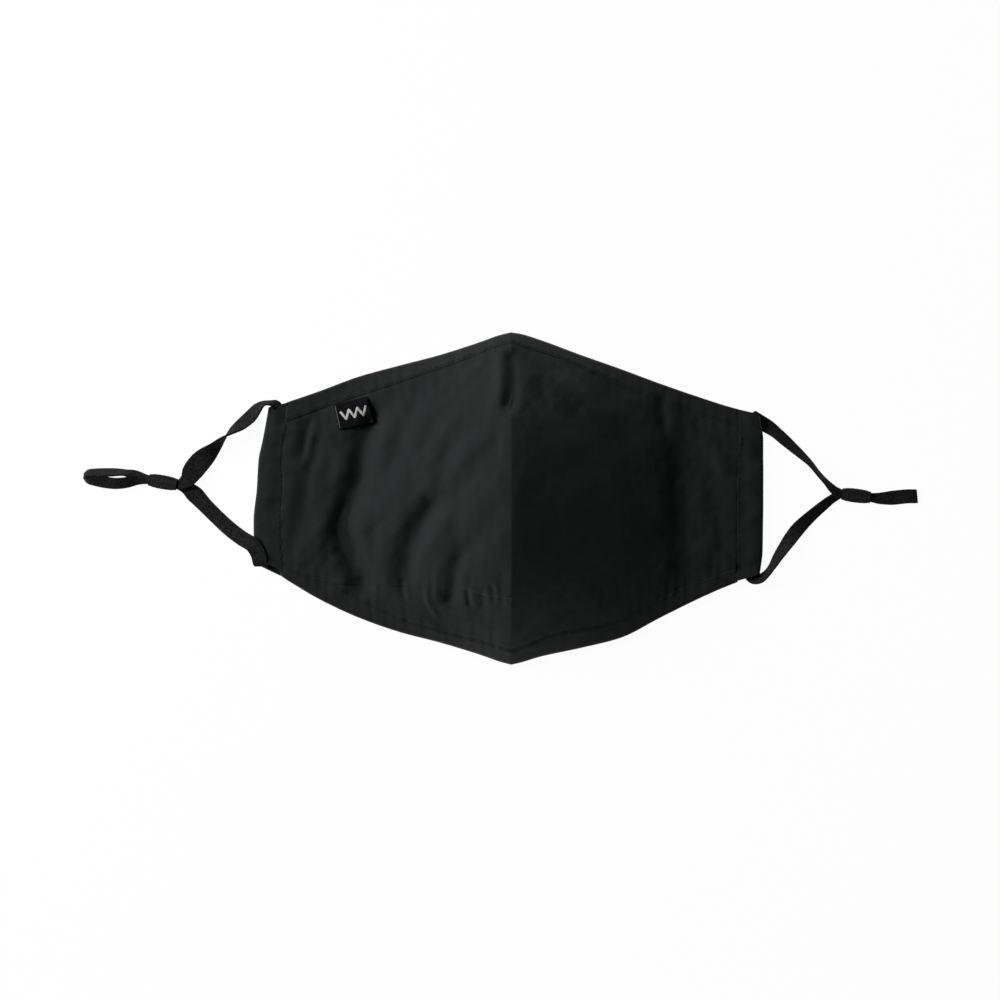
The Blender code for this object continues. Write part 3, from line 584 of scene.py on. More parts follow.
@dataclass(frozen=True)
class Puckers:
    """Small irregular waves that a stitch line draws into the cloth beside it."""

    seed: int
    height: float = 0.00022
    fade: float = 0.0045
    shortest: float = 0.0034
    longest: float = 0.0090
    count: int = 9

    def __call__(self, along: Array, away: Array) -> Array:
        """Heights of the waves.

        Args:
            along: Places along the stitch line.
            away: Distances from it.

        Returns:
            The height at each place.
        """
        rng = np.random.default_rng(self.seed)
        total = np.zeros(np.broadcast(along, away).shape)
        for _ in range(self.count):
            length = rng.uniform(self.shortest, self.longest)
            total += np.sin(along * 2.0 * math.pi / length + rng.uniform(0.0, 2.0 * math.pi))
        return total * np.exp(-np.abs(away) / self.fade) * self.height * math.sqrt(2.0 / self.count)


HEM_PUCKERS = {Line.TOP: Puckers(6, 0.00010), Line.LOW_HEM: Puckers(9, 0.00010)}
SIDE_PUCKERS = {side: Puckers(36 + side.value, 0.00013, 0.006, 0.005, 0.014) for side in Side}
CHANNEL_RIPPLES = {side: Ripples(60 + side.value, 0.007, 0.020, 0.00018) for side in Side}


@dataclass
class ClothForm:
    """Height of the cloth body over the floor."""

    billow: Ripples = Ripples(11, 0.016, 0.042, 0.00034)
    streaks: Ripples = Ripples(31, 0.009, 0.026, 0.00022, 14, 2.35, 2.95)
    crumple: Ripples = Ripples(23, 0.0045, 0.011, 0.00009, 40)
    top_pull: Puckers = Puckers(5, 0.00013)
    low_pull: Puckers = Puckers(8, 0.00014)
    chin_pull: Puckers = Puckers(33, 0.00020)
    least_streaks: float = 0.3
    least_crumple: float = 0.35
    chin_pull_end: float = 0.5
    chin_pull_fade: float = 0.14

    def __post_init__(self) -> None:
        """Turn the tables into curves."""
        self.roof = Curve(SECTION, "roof")
        self.rim = Curve(SECTION, "rim")
        self.rise = Curve(RIDGE, "rise")

    def base(self, half: HalfPattern, x: Array, y: Array) -> Array:
        """Smooth height of one half, without folds.

        Args:
            half: Which half.
            x: Places across.
            y: Places towards the nose.

        Returns:
            The height at each place.
        """
        u = half.share(x)
        low, top = half.line(Line.LOW, x), half.line(Line.TOP, x)
        along = np.clip((y - low) / (top - low), 0.0, 1.0)
        rims = CHIN_RIM_HEIGHT, NOSE_RIM_HEIGHT
        low_rim, top_rim = (SIDE_HEIGHT + (rim - SIDE_HEIGHT) * self.rim(u) for rim in rims)
        rim = low_rim + (top_rim - low_rim) * along
        roof = np.maximum(PEAK_HEIGHT * self.roof(u), SIDE_HEIGHT)
        return rim + (roof - rim) * self.rise(along)

    def height(self, half: HalfPattern, x: Array, y: Array) -> Array:
        """Height of the upper face of one half, with its folds.

        Args:
            half: Which half.
            x: Places across.
            y: Places towards the nose.

        Returns:
            The height at each place.
        """
        z = self.base(half, x, y)
        scale = CAMERA_HEIGHT / (CAMERA_HEIGHT - z)
        seen = [middle + (place - middle) * scale for place, middle in zip((x, y), VIEW_CENTRE)]
        for crease in CREASES:
            if half.outward(sum(p[0] for p in crease.points) / len(crease.points) * MM) > -RIDGE_SPILL:
                z = z - crease.drop(*seen)
        inside = ease(np.minimum(half.line(Line.TOP, x) - y, y - half.line(Line.LOW, x)) / EDGE_FADE)
        inside *= ease(half.share(x) / RIDGE_FADE) * ease(half.seam_away(x, y) / SIDE_FADE)
        leaning = ease((RIDGE_X - x) / STREAK_BLEND + 0.5)
        streaked = self.least_streaks + (1.0 - self.least_streaks) * leaning
        crumpled = self.least_crumple + (1.0 - self.least_crumple) * inside
        z = z + (self.billow(x, y) + self.streaks(x, y) * streaked) * inside
        z = z + self.crumple(x, y) * crumpled + self.puckered(half, x, y)
        return np.maximum(z, CLOTH_WALL)

    def puckered(self, half: HalfPattern, x: Array, y: Array) -> Array:
        """Puckers that the seams draw into the cloth on both sides of them.

        Args:
            half: Which half.
            x: Places across.
            y: Places towards the nose.

        Returns:
            Heights to add.
        """
        waves = SIDE_PUCKERS[half.side](y, half.seam_away(x, y))
        waves = waves + self.top_pull(x, y - half.line(Line.TOP_HEM, x))
        waves = waves + self.low_pull(x, y - half.line(Line.LOW_HEM, x))
        fade = 1.0 - ease((half.share(x) - self.chin_pull_end) / self.chin_pull_fade)
        return waves + self.chin_pull(x, y - half.line(Line.CHIN, x)) * fade


class Spacing(NamedTuple):
    """Share of the way and offset in metres of grid lines from one border to the other."""

    share: Array
    offset: Array


def spacing(length: float, low: Border, high: Border, step: float = GRID_STEP) -> Spacing:
    """Grid lines that crowd at a piece's borders.

    Args:
        length: About how far apart the borders are.
        low: The first border.
        high: The last border.
        step: Distance between lines in the middle.

    Returns:
        The lines.
    """
    offsets = {Border.TUCKED: TUCK_OFFSETS, Border.ROLLED: ROLL_OFFSETS, Border.PLAIN: ()}
    start = [value * MM for value in offsets[low]]
    end = [-value * MM for value in reversed(offsets[high])]
    low_margin, high_margin = (EDGE_MARGIN if lines else 0.0 for lines in (start, end))
    inner = np.linspace(0.0, 1.0, max(2, round((length - low_margin - high_margin) / step)) + 1)
    share = np.concatenate([np.zeros(len(start)), inner, np.ones(len(end))])
    return Spacing(share, np.concatenate([start, low_margin * (1.0 - inner) - high_margin * inner, end]))


def lattice(half: HalfPattern, columns: Spacing, rows: Spacing, low: Line, high: Line) -> tuple[Array, Array]:
    """Places of a grid on one half, between two lines.

    Args:
        half: Which half.
        columns: Spacing from the centre seam to the channel seam.
        rows: Spacing from the lower line to the upper one.
        low: The lower line.
        high: The upper line.

    Returns:
        X and Y of each grid point, columns first.
    """
    t, off = columns.share[:, None], columns.offset[:, None]
    s, rise = rows.share[None, :], rows.offset[None, :]
    x = RIDGE_X + (half.seam_x(np.zeros(1)) - RIDGE_X) * t + half.sign * off + 0.0 * s
    y = np.zeros_like(x)
    outside = (rise < 0) & (s < 0.5) | (rise > 0) & (s > 0.5)
    for _ in range(LATTICE_ROUNDS):
        bottom, top = half.line(low, x), half.line(high, x)
        room = np.clip((top - bottom) / (2.0 * EDGE_MARGIN + MM), LEAST_ROOM, 1.0)
        y = bottom + (top - bottom) * s + np.where(outside, rise, rise * room)
        x = RIDGE_X + (half.seam_x(y) - RIDGE_X) * t + half.sign * off
    return x, y


def seam_drop(inside: Array, dip: float = SEAM_DIP, round_off: float = SEAM_ROUND) -> Array:
    """Drop of a tucked border, from its depth and how far inside the cloth rounds down to it."""
    near = np.clip(1.0 - inside / round_off, 0.0, 1.0)
    return np.where(inside < 0.0, dip - inside, dip * near * near)


def rolled(inside: Array, thick: float, radius: float) -> Array:
    """Half the thickness of a wall beside its rolled free edge."""
    near = np.clip(1.0 - inside / radius, 0.0, 1.0)
    return np.maximum(0.5 * thick * np.sqrt(np.maximum(1.0 - near * near, 0.0)), LEAST_HALF_WALL)


def unit(rows: Array) -> Array:
    """Rows of vectors scaled to length 1."""
    return rows / np.linalg.norm(rows, axis=1)[:, None]


def grid_lengths(points: Array) -> Array:
    """Lengths along a grid's surface, for a weave that follows it.

    Args:
        points: Grid points, as columns, rows and three coordinates.

    Returns:
        Two lengths in metres for each point.
    """
    across = np.cumsum(np.linalg.norm(np.diff(points, axis=0), axis=2), axis=0)
    up = np.cumsum(np.linalg.norm(np.diff(points, axis=1), axis=2), axis=1)
    columns, rows = points.shape[:2]
    u = np.concatenate([np.zeros((1, rows)), across])[:, rows // 2, None]
    v = np.concatenate([np.zeros((columns, 1)), up], axis=1)
    return np.stack([np.repeat(u, rows, axis=1), v], axis=2)


def mesh_object(
    name: str, points: Array, faces: Sequence[Sequence[int]], uv: Optional[Array], material: Material,
    sharp: float = 60.0,
) -> Piece:
    """Object of a mesh with smooth faces.

    Args:
        name: Name of the piece.
        points: Its points.
        faces: Point indices of each face, outwards.
        uv: Surface lengths of each point, or None.
        material: Its finish.
        sharp: Angle in degrees past which an edge stays sharp.

    Returns:
        The linked object, at the origin.
    """
    mesh = bpy.data.meshes.new(name)
    mesh.from_pydata([tuple(p) for p in points], [], [tuple(f) for f in faces])
    if uv is not None:
        layer = mesh.uv_layers.new(name="surface")
        index = np.zeros(len(mesh.loops), np.int32)
        mesh.loops.foreach_get("vertex_index", index)
        layer.data.foreach_set("uv", uv[index].astype(np.float32).ravel())
    mesh.materials.append(material)
    mesh.shade_smooth()
    mesh.set_sharp_from_angle(angle=math.radians(sharp))
    mesh.update()
    return linked(name, mesh)


def linked(name: str, data: bpy.types.ID) -> Piece:
    """New object in the scene.

    Args:
        name: Its name.
        data: Its mesh, camera or light.

    Returns:
        The object.
    """
    item = bpy.data.objects.new(name, data)
    bpy.context.scene.collection.objects.link(item)
    return item


def shell_object(name: str, x: Array, y: Array, upper: Array, lower: Array, material: Material) -> Piece:
    """Closed cloth wall between two height grids.

    Args:
        name: Name of the piece.
        x: X of the grid, columns first.
        y: Y of the grid.
        upper: Height of the upper face.
        lower: Height of the lower face.
        material: Its finish.

    Returns:
        The linked object.
    """
    top, bottom = (np.stack([x, y, z], axis=2) for z in (upper, lower))
    uv = grid_lengths(top).reshape(-1, 2)
    index = np.arange(x.size).reshape(x.shape)
    a, b = index[:-1, :-1].ravel(), index[1:, :-1].ravel()
    c, d = index[1:, 1:].ravel(), index[:-1, 1:].ravel()
    rim = np.concatenate([index[:, 0], index[-1, 1:], index[-2::-1, -1], index[0, -2:0:-1]])
    ahead = np.roll(rim, -1)
    if x[-1, 0] < x[0, 0]:
        b, d = d, b
        rim, ahead = ahead, rim
    faces = [np.stack([a, b, c, d], axis=1), np.stack([d, c, b, a], axis=1) + x.size]
    faces.append(np.stack([ahead, rim, rim + x.size, ahead + x.size], axis=1))
    points = np.concatenate([top.reshape(-1, 3), bottom.reshape(-1, 3)])
    return mesh_object(name, points, np.concatenate(faces), np.concatenate([uv, uv]), material)


def loft(name: str, rings: Sequence[Array], material: Material, flip: bool, sharp: float = 60.0) -> Piece:
    """Closed surface through rings that come back to the first one.

    Args:
        name: Name of the piece.
        rings: Rings of as many points each.
        material: Its finish.
        flip: Whether the rings run the other way round.
        sharp: Angle in degrees past which an edge stays sharp.

    Returns:
        The linked object.
    """
    points = np.stack(rings)
    count, size = points.shape[:2]
    index = np.arange(count * size).reshape(count, size)
    ahead, beside = np.roll(index, -1, axis=0), np.roll(index, -1, axis=1)
    faces = np.stack([index, beside, np.roll(ahead, -1, axis=1), ahead], axis=2).reshape(-1, 4)
    around = np.linalg.norm(np.roll(points, -1, axis=1) - points, axis=2)
    forward = np.linalg.norm(np.diff(points, axis=0), axis=2).mean(axis=1)
    v = np.concatenate([[0.0], np.cumsum(forward)])
    uv = np.stack([np.cumsum(around, axis=1) - around, np.repeat(v[:, None], size, axis=1)], axis=2)
    faces = faces[:, ::-1] if flip else faces
    return mesh_object(name, points.reshape(-1, 3), faces, uv.reshape(-1, 2), material, sharp)


def dress(piece: Piece, slot: str, *nodes: str) -> Piece:
    """Put a finished piece on the mask's body.

    Args:
        piece: The piece.
        slot: Its material slot. Not used.
        nodes: The solids that it stands for.

    Returns:
        The piece.
    """
    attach(piece, BODY)
    if nodes:
        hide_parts(*nodes)
    LOG.info("%s: %d faces", piece.name, len(piece.data.polygons))
    return piece


class NodeSketch:
    """Short way to lay out a material's nodes."""

    def __init__(self, name: str) -> None:
        """Start a material.

        Args:
            name: Name of the material.
        """
        self.material = bpy.data.materials.new(name)
        self.material.use_nodes = True
        self.tree = self.material.node_tree
        self.shader = self.tree.nodes["Principled BSDF"]

    def feed(self, target: Socket, value: object) -> None:
        """Give a node's input its value.

        Args:
            target: The input.
            value: A value, or the output socket to link to it.
        """
        if isinstance(value, Socket):
            self.tree.links.new(value, target)
        else:
            target.default_value = value

    def add(self, kind: str, inputs: dict, **settings: object) -> bpy.types.Node:
        """Add a node.

        Args:
            kind: Its type name.
            inputs: Values or output sockets by input name or index.
            settings: Its properties.

        Returns:
            The node.
        """
        node = self.tree.nodes.new(kind)
        for name, value in settings.items():
            setattr(node, name, value)
        for name, value in inputs.items():
            self.feed(node.inputs[name], value)
        return node

    def math(self, operation: str, *values: object) -> Socket:
        """Output of a Math node."""
        return self.add("ShaderNodeMath", dict(enumerate(values)), operation=operation).outputs[0]

    def times(self, a: object, b: object) -> Socket:
        """Product of two values."""
        return self.math("MULTIPLY", a, b)

    def scaled(self, a: object, factor: float, b: object) -> Socket:
        """First value times a factor, plus the second."""
        return self.math("MULTIPLY_ADD", a, factor, b)

    def wave(self, lengths: Socket, period: float, shift: object = 0.0) -> Socket:
        """Sine of a length, with its period in metres and a shift in radians."""
        return self.math("SINE", self.scaled(lengths, 2.0 * math.pi / period, shift))

    def noise(self, scale: float, detail: float = 2.0) -> Socket:
        """Output of a noise texture on object coordinates."""
        place = self.add("ShaderNodeTexCoord", {}).outputs["Object"]
        return self.add("ShaderNodeTexNoise", {"Vector": place, "Scale": scale, "Detail": detail}).outputs[0]

    def surface(self) -> Sequence[Socket]:
        """The two surface lengths of the piece."""
        uv = self.add("ShaderNodeUVMap", {}, uv_map="surface").outputs[0]
        return self.add("ShaderNodeSeparateXYZ", {0: uv}).outputs[:2]

    def relief(self, *layers: tuple[Socket, float, float]) -> Socket:
        """Normal of bumps that add up.

        Args:
            layers: Height from 0 to 1, depth in metres and strength of each.

        Returns:
            The normal.
        """
        below: dict = {}
        for height, distance, strength in layers:
            inputs = {"Height": height, "Distance": distance, "Strength": strength, **below}
            below = {"Normal": self.add("ShaderNodeBump", inputs).outputs[0]}
        return below["Normal"]

    def wear(self, **sockets: object) -> Material:
        """Set the shader's sockets and give the finished material.

        Args:
            sockets: Values or sockets by input name, with _ for a space.

        Returns:
            The material.
        """
        for name, value in sockets.items():
            self.feed(self.shader.inputs[name.replace("_", " ")], value)
        return self.material


@dataclass(frozen=True)
class Finish:
    """Colours and surface values of a finish. Thread is the size of its weave or loops."""

    name: str
    dark: Colour
    light: Colour
    thread: float
    roughness: float
    gloss: float
    sheen: float = 0.0
    sheen_spread: float = 0.5

    def texture(self, sketch: NodeSketch) -> tuple[Socket, Socket]:
        """Share of the light colour, and the normal."""
        raise NotImplementedError

    def material(self) -> Material:
        """Lay out the nodes.

        Returns:
            The material.
        """
        sketch = NodeSketch(self.name)
        shade, normal = self.texture(sketch)
        colours = {"Factor": shade, 6: (*self.dark, 1.0), 7: (*self.light, 1.0)}
        return sketch.wear(
            Base_Color=sketch.add("ShaderNodeMix", colours, data_type="RGBA").outputs[2],
            Roughness=self.roughness, Specular_IOR_Level=self.gloss, Normal=normal,
            Sheen_Weight=self.sheen, Sheen_Roughness=self.sheen_spread,
        )


class WovenCotton(Finish):
    """Plain-woven black cotton."""

    def texture(self, sketch: NodeSketch) -> tuple[Socket, Socket]:
        """Threads over and under one another, fibres, soft clouds and a fine crumple.

        Args:
            sketch: The material's nodes.

        Returns:
            Share of the light colour, and the normal.
        """
        across, up = (sketch.wave(lengths, 2.0 * self.thread) for lengths in sketch.surface())
        over = sketch.math("GREATER_THAN", sketch.times(across, up), 0.0)
        warp = sketch.times(sketch.math("ABSOLUTE", across), over)
        weft = sketch.times(sketch.math("ABSOLUTE", up), sketch.math("SUBTRACT", 1.0, over))
        threads = sketch.math("ADD", warp, weft)
        clouds, fibres, crumple = sketch.noise(38.0, 3.0), sketch.noise(900.0, 3.0), sketch.noise(190.0, 4.0)
        # Painted shade: the colour darkens where the weave is low, in the gaps between threads; clouds and
        # fibres are random tone.
        shade = sketch.scaled(threads, 0.16, sketch.scaled(clouds, 0.62, sketch.times(fibres, 0.22)))
        layers = (crumple, 0.00055, 0.35), (fibres, 0.00010, 0.30), (threads, 0.00009, 0.45)
        return shade, sketch.relief(*layers)


class KnitElastic(Finish):
    """Flat knitted elastic, ribbed along its length."""

    def texture(self, sketch: NodeSketch) -> tuple[Socket, Socket]:
        """Ribs with slanting stitches, fibres and pale flecks.

        Args:
            sketch: The material's nodes.

        Returns:
            Share of the light colour, and the normal.
        """
        u, v = sketch.surface()
        ribs = sketch.wave(u, RIB_PERIOD)
        stitches = sketch.wave(v, self.thread, sketch.times(sketch.math("ABSOLUTE", ribs), 1.6))
        height = sketch.scaled(stitches, 0.18, sketch.scaled(ribs, 0.32, 0.5))
        fibres, clouds, flecks = sketch.noise(1100.0, 3.0), sketch.noise(60.0), sketch.noise(1000.0)
        # Painted shade: the colour darkens in the grooves between ribs and stitches; clouds and the pale
        # flecks on the next line are random tone.
        shade = sketch.scaled(height, 0.30, sketch.times(clouds, 0.16))
        shade = sketch.scaled(sketch.math("SUBTRACT", flecks, 0.40), 1.75, shade)
        layers = (fibres, 0.00008, 0.35), (flecks, 0.00026, 0.45), (height, 0.00016, 0.60)
        return shade, sketch.relief(*layers)


class SleeveKnit(Finish):
    """Soft tubular knit of the sliders."""

    def texture(self, sketch: NodeSketch) -> tuple[Socket, Socket]:
        """Wales with slanting loops, and fibres.

        Args:
            sketch: The material's nodes.

        Returns:
            Share of the light colour, and the normal.
        """
        u, v = sketch.surface()
        wales = sketch.wave(v, self.thread)
        loops = sketch.wave(u, self.thread, sketch.times(sketch.math("ABSOLUTE", wales), 2.4))
        height = sketch.scaled(loops, 0.24, sketch.scaled(wales, 0.26, 0.5))
        fibres = sketch.noise(1000.0, 3.0)
        # Painted shade: the colour darkens in the low places between loops and wales; the fibres are random
        # tone.
        shade = sketch.scaled(height, 0.7, sketch.times(fibres, 0.25))
        return shade, sketch.relief((fibres, 0.00010, 0.4), (height, 0.00022, 0.7))


class WovenTape(Finish):
    """Tightly woven satin tape of the label."""

    def texture(self, sketch: NodeSketch) -> tuple[Socket, Socket]:
        """Fine close threads and soft clouds.

        Args:
            sketch: The material's nodes.

        Returns:
            Share of the light colour, and the normal.
        """
        u, v = sketch.surface()
        threads = sketch.times(sketch.wave(u, self.thread), sketch.wave(v, 2.0 * self.thread))
        height = sketch.scaled(threads, 0.5, 0.5)
        # Painted shade: the colour darkens in the low places between threads; the noise is random tone.
        shade = sketch.scaled(height, 0.5, sketch.times(sketch.noise(240.0), 0.5))
        return shade, sketch.relief((height, 0.00006, 0.6))


class Yarn(Finish):
    """Sewing or weaving thread of one shade."""

    def texture(self, sketch: NodeSketch) -> tuple[Socket, Socket]:
        """Strands alone."""
        strands = sketch.noise(1.0 / self.thread, 3.0)
        return strands, sketch.relief((strands, 0.00008, 0.5))


RIB_PERIOD = 0.00078
COTTON = WovenCotton(
    "cloth_cotton", (0.0130, 0.0165, 0.0172), (0.0205, 0.0245, 0.0250), 0.00042, 0.86, 0.30, 0.10, 0.45,
)
ELASTIC = KnitElastic(
    "loop_elastic", (0.0080, 0.0084, 0.0088), (0.0460, 0.0471, 0.0477), 0.00085, 0.90, 0.06, 0.02,
)
KNIT = SleeveKnit("slider_knit", (0.0135, 0.0145, 0.0145), (0.042, 0.044, 0.0435), 0.0011, 0.92, 0.06, 0.02)
TAPE = WovenTape("label_tape", (0.0030, 0.0036, 0.0044), (0.0125, 0.0145, 0.0165), 0.00028, 0.85, 0.08)
STRAND = 1.0 / 2600.0
BLACK_THREAD = Yarn("seam_thread", (0.0085, 0.0100, 0.0105), (0.0165, 0.0185, 0.0190), STRAND, 0.8, 0.10)
PALE_THREAD = Yarn("motif_thread", (0.62, 0.62, 0.61), (0.90, 0.90, 0.89), STRAND, 0.75, 0.10)
GREY_THREAD = Yarn("selvedge_thread", (0.16, 0.16, 0.16), (0.30, 0.30, 0.30), STRAND, 0.75, 0.10)


@dataclass
class ClothBody:
    """Panels, chin pieces and hems of the mask."""

    form: ClothForm
    cotton: Material

    def walled(
        self, name: str, half: HalfPattern, columns: Spacing, rows: Spacing, low: Line, high: Line,
        low_dip: Sequence[float] = (), high_dip: Sequence[float] = (),
    ) -> Piece:
        """Cloth piece of even thickness between two lines.

        Args:
            name: Name of the piece.
            half: Which half.
            columns: Spacing from the centre seam outwards.
            rows: Spacing from the lower line to the upper one.
            low: The lower line.
            high: The upper line.
            low_dip: Depth and rounding of the tuck at the lower line.
            high_dip: The same at the upper line.

        Returns:
            The piece.
        """
        x, y = lattice(half, columns, rows, low, high)
        upper = self.form.height(half, x, y)
        upper -= seam_drop(half.line(high, x) - y, *high_dip) + seam_drop(y - half.line(low, x), *low_dip)
        upper -= seam_drop(half.seam_away(x, y), SIDE_DIP)
        upper -= seam_drop(half.outward(x), RIDGE_DIP, RIDGE_ROUND)
        lower = np.maximum(upper - CLOTH_WALL, LEAST_Z)
        return shell_object(name, x, y, np.maximum(upper, lower + LEAST_WALL), lower, self.cotton)

    def hem(self, low: Line, high: Line, name: str) -> Piece:
        """Stitched band along the upper or lower edge.

        Args:
            low: Its lower line.
            high: Its upper line.
            name: Name of the piece.

        Returns:
            The piece.
        """
        is_top = high is Line.TOP
        borders = (Border.TUCKED, Border.ROLLED) if is_top else (Border.ROLLED, Border.TUCKED)
        rows = spacing(HEM_DEPTH, *borders, HEM_GRID_STEP)
        columns = spacing(PANEL_SPAN, Border.PLAIN, Border.TUCKED, HEM_COLUMN_STEP)
        thick = CLOTH_WALL + HEM_PROUD
        grids = []
        for half in (LEFT, RIGHT):
            x, y = lattice(half, columns, rows, low, high)
            z = self.form.height(half, x, y) + HEM_PROUD * (1.0 if is_top else LOW_PROUD)
            ends = half.line(high, x) - y, y - half.line(low, x)
            free, sewn = ends if is_top else ends[::-1]
            z += HEM_PUCKERS[high](x, free)
            z -= seam_drop(sewn) + seam_drop(half.seam_away(x, y))
            swell = rolled(free, thick, HEM_ROUND)
            grids.append([x, y, z - 0.5 * thick + swell, z - 0.5 * thick - swell])
        x, y, upper, lower = (np.concatenate([a[::-1], b[1:]]) for a, b in zip(*grids))
        return shell_object(name, x, y, upper, np.maximum(lower, LEAST_Z), self.cotton)

    def build(self) -> None:
        """Build every cloth piece of the body."""
        tucked = Border.TUCKED, Border.TUCKED
        columns, rows = spacing(PANEL_SPAN, *tucked), spacing(PANEL_DEPTH, *tucked)
        chin_rows = spacing(CHIN_DEPTH, *tucked, CHIN_GRID_STEP)
        for word, half in HALVES.items():
            name, dip = f"main_panel_{word}", (CHIN_DIPS[half.side], PANEL_CHIN_ROUND)
            panel = self.walled(name, half, columns, rows, Line.CHIN, Line.TOP_HEM, low_dip=dip)
            reach = (CHIN_END + CHIN_CLOSE) * half.reach
            full = abs(float(half.seam_x(np.zeros(1))[0]) - RIDGE_X)
            share, offset = spacing(reach, Border.TUCKED, Border.PLAIN)
            short = Spacing(share * reach / full, offset)
            name, dip = f"chin_piece_{word}", (CHIN_DIPS[half.side], CHIN_ROUND)
            chin = self.walled(name, half, short, chin_rows, Line.LOW_HEM, Line.CHIN, high_dip=dip)
            dress(panel, "cloth", f"panel_{word}")
            dress(chin, "cloth", f"chin_{word}")
        for low, high, word in ((Line.TOP_HEM, Line.TOP, "top"), (Line.LOW, Line.LOW_HEM, "low")):
            hem = self.hem(low, high, f"{word}_hem_band")
            dress(hem, "cloth", f"{word}_hem")


def channel_lift(half: HalfPattern, along: Array) -> Array:
    """How far the ear loop below raises the right channel's upper end, by share of its length."""
    lift = BAND_PASS_LIFT if half.side is Side.RIGHT else 0.0
    return lift * ease((along - LIFT_START) / (LIFT_END - LIFT_START))


def channel_middle(half: HalfPattern, along: float) -> RouteRow:
    """Route row in the middle of a channel's hollow.

    Args:
        half: Which half.
        along: Share of the channel's length.

    Returns:
        The row.
    """
    low, high = half.ends
    y = low + (high - low) * along
    x = float(half.edge_x(np.array([y]))[0] + half.seam_x(np.array([y]))[0]) / 2.0
    z = float(channel_lift(half, np.array([along]))[0]) + SIDE_HEIGHT / 2.0
    lean = 0.0 if half.side is Side.LEFT else 360.0
    return RouteRow(x / MM, y / MM, z / MM, lean, CHANNEL_SQUEEZE)


@dataclass(frozen=True)
class Mouth:
    """How far a channel's open end reaches past its solid, in millimetres, by layer and side."""

    upper_seam: float
    upper_edge: float
    lower_seam: float
    lower_edge: float
    puff: float = 0.4
    bow: float = 1.0

    def reach(self, shares: Array, level: Array) -> Array:
        """Reach past the solid's end.

        Args:
            shares: Shares of the width from the seam to the outer edge.
            level: 0 for the lower layer and 1 for the upper one.

        Returns:
            The reach at each place.
        """
        upper = self.upper_edge + (self.upper_seam - self.upper_edge) * (1.0 - shares) ** self.bow
        lower = self.lower_seam + (self.lower_edge - self.lower_seam) * shares
        return (lower + (upper - lower) * level) * MM


@dataclass
class SideChannel:
    """Flat sewn tube that an ear loop runs through."""

    half: HalfPattern
    form: ClothForm
    cotton: Material
    low_mouth: Mouth
    high_mouth: Mouth
    edge_round: float = 0.0019
    rows: int = 110
    mouth_share: float = 0.26
    puff_share: float = 0.05
    crown: tuple[float, float, float] = (0.00030, 0.52, 0.22)
    groove: tuple[float, float, float] = (-0.00018, 0.86, 0.07)
    inner_share: float = 0.8
    flat_points: int = 14
    round_points: int = 11
    least_bend: float = 0.25 * MM
    least_z: float = 0.03 * MM

    def heights(self, across: Array, y: Array, along: Array) -> Array:
        """Height of the upper face.

        Args:
            across: Share of the width from the seam to the outer edge.
            y: Places along the channel.
            along: Share of the channel's length.

        Returns:
            The height at each place.
        """
        half = self.half
        away = across * half.channel_width(y)
        z = SIDE_HEIGHT + channel_lift(half, along) - seam_drop(away, SIDE_DIP)
        for height, place, width in (self.crown, self.groove):
            z = z + height * np.exp(-(((across - place) / width) ** 2))
        z = z + SIDE_PUCKERS[half.side](y, away) + CHANNEL_RIPPLES[half.side](half.seam_x(y) + away, y)
        low = np.exp(-((along / self.puff_share) ** 2)) * self.low_mouth.puff
        high = np.exp(-(((1.0 - along) / self.puff_share) ** 2)) * self.high_mouth.puff
        return z + (low + high) * MM

    def ring(self, along: float, inset: float) -> Array:
        """Section of the tube.

        Args:
            along: Share of its length.
            inset: How far inside the outer face the section lies.

        Returns:
            Points round the section, from the seam along the floor and back over the top.
        """
        half = self.half
        low, high = half.ends
        y = low + (high - low) * along
        width = float(half.channel_width(np.array([y]))[0])
        flat = np.linspace(inset / width, 1.0 - self.edge_round / width, self.flat_points)
        turn = np.linspace(-math.pi / 2.0, math.pi / 2.0, self.round_points)[1:-1]
        top = self.heights(flat, np.full_like(flat, y), np.full_like(flat, along))
        top_edge = top[-1] - inset
        low_edge = float(channel_lift(half, np.array([along]))[0]) + inset
        middle, tall = (top_edge + low_edge) / 2.0, (top_edge - low_edge) / 2.0
        bend = max(self.edge_round - inset, self.least_bend)
        round_x = 1.0 - self.edge_round / width + np.cos(turn) * bend / width
        shares = np.concatenate([flat, round_x, flat[::-1]])
        level = np.concatenate([0.0 * flat, (1.0 + np.sin(turn)) / 2.0, 0.0 * flat + 1.0])
        heights = np.concatenate([0.0 * flat + low_edge, middle + tall * np.sin(turn), top[::-1] - inset])
        rising = float(ease(np.array((along - 1.0 + self.mouth_share) / self.mouth_share)))
        falling = float(1.0 - ease(np.array(along / self.mouth_share)))
        ys = y + self.high_mouth.reach(shares, level) * rising - self.low_mouth.reach(shares, level) * falling
        seam, edge = half.seam_x(ys), half.edge_x(ys)
        return np.stack([seam + (edge - seam) * shares, ys, np.maximum(heights, self.least_z)], axis=1)

    def build(self, word: str) -> None:
        """Args:
            word: Its side in the piece's name.
        """
        places = np.linspace(0.0, 1.0, self.rows)
        insets = 0.0, CHANNEL_WALL * self.inner_share
        outer, inner = ([self.ring(along, inset) for along in places] for inset in insets)
        is_right = self.half.side is Side.RIGHT
        piece = loft(f"side_channel_{word}", outer + inner[::-1], self.cotton, is_right)
        dress(piece, "cloth", f"channel_{word}")


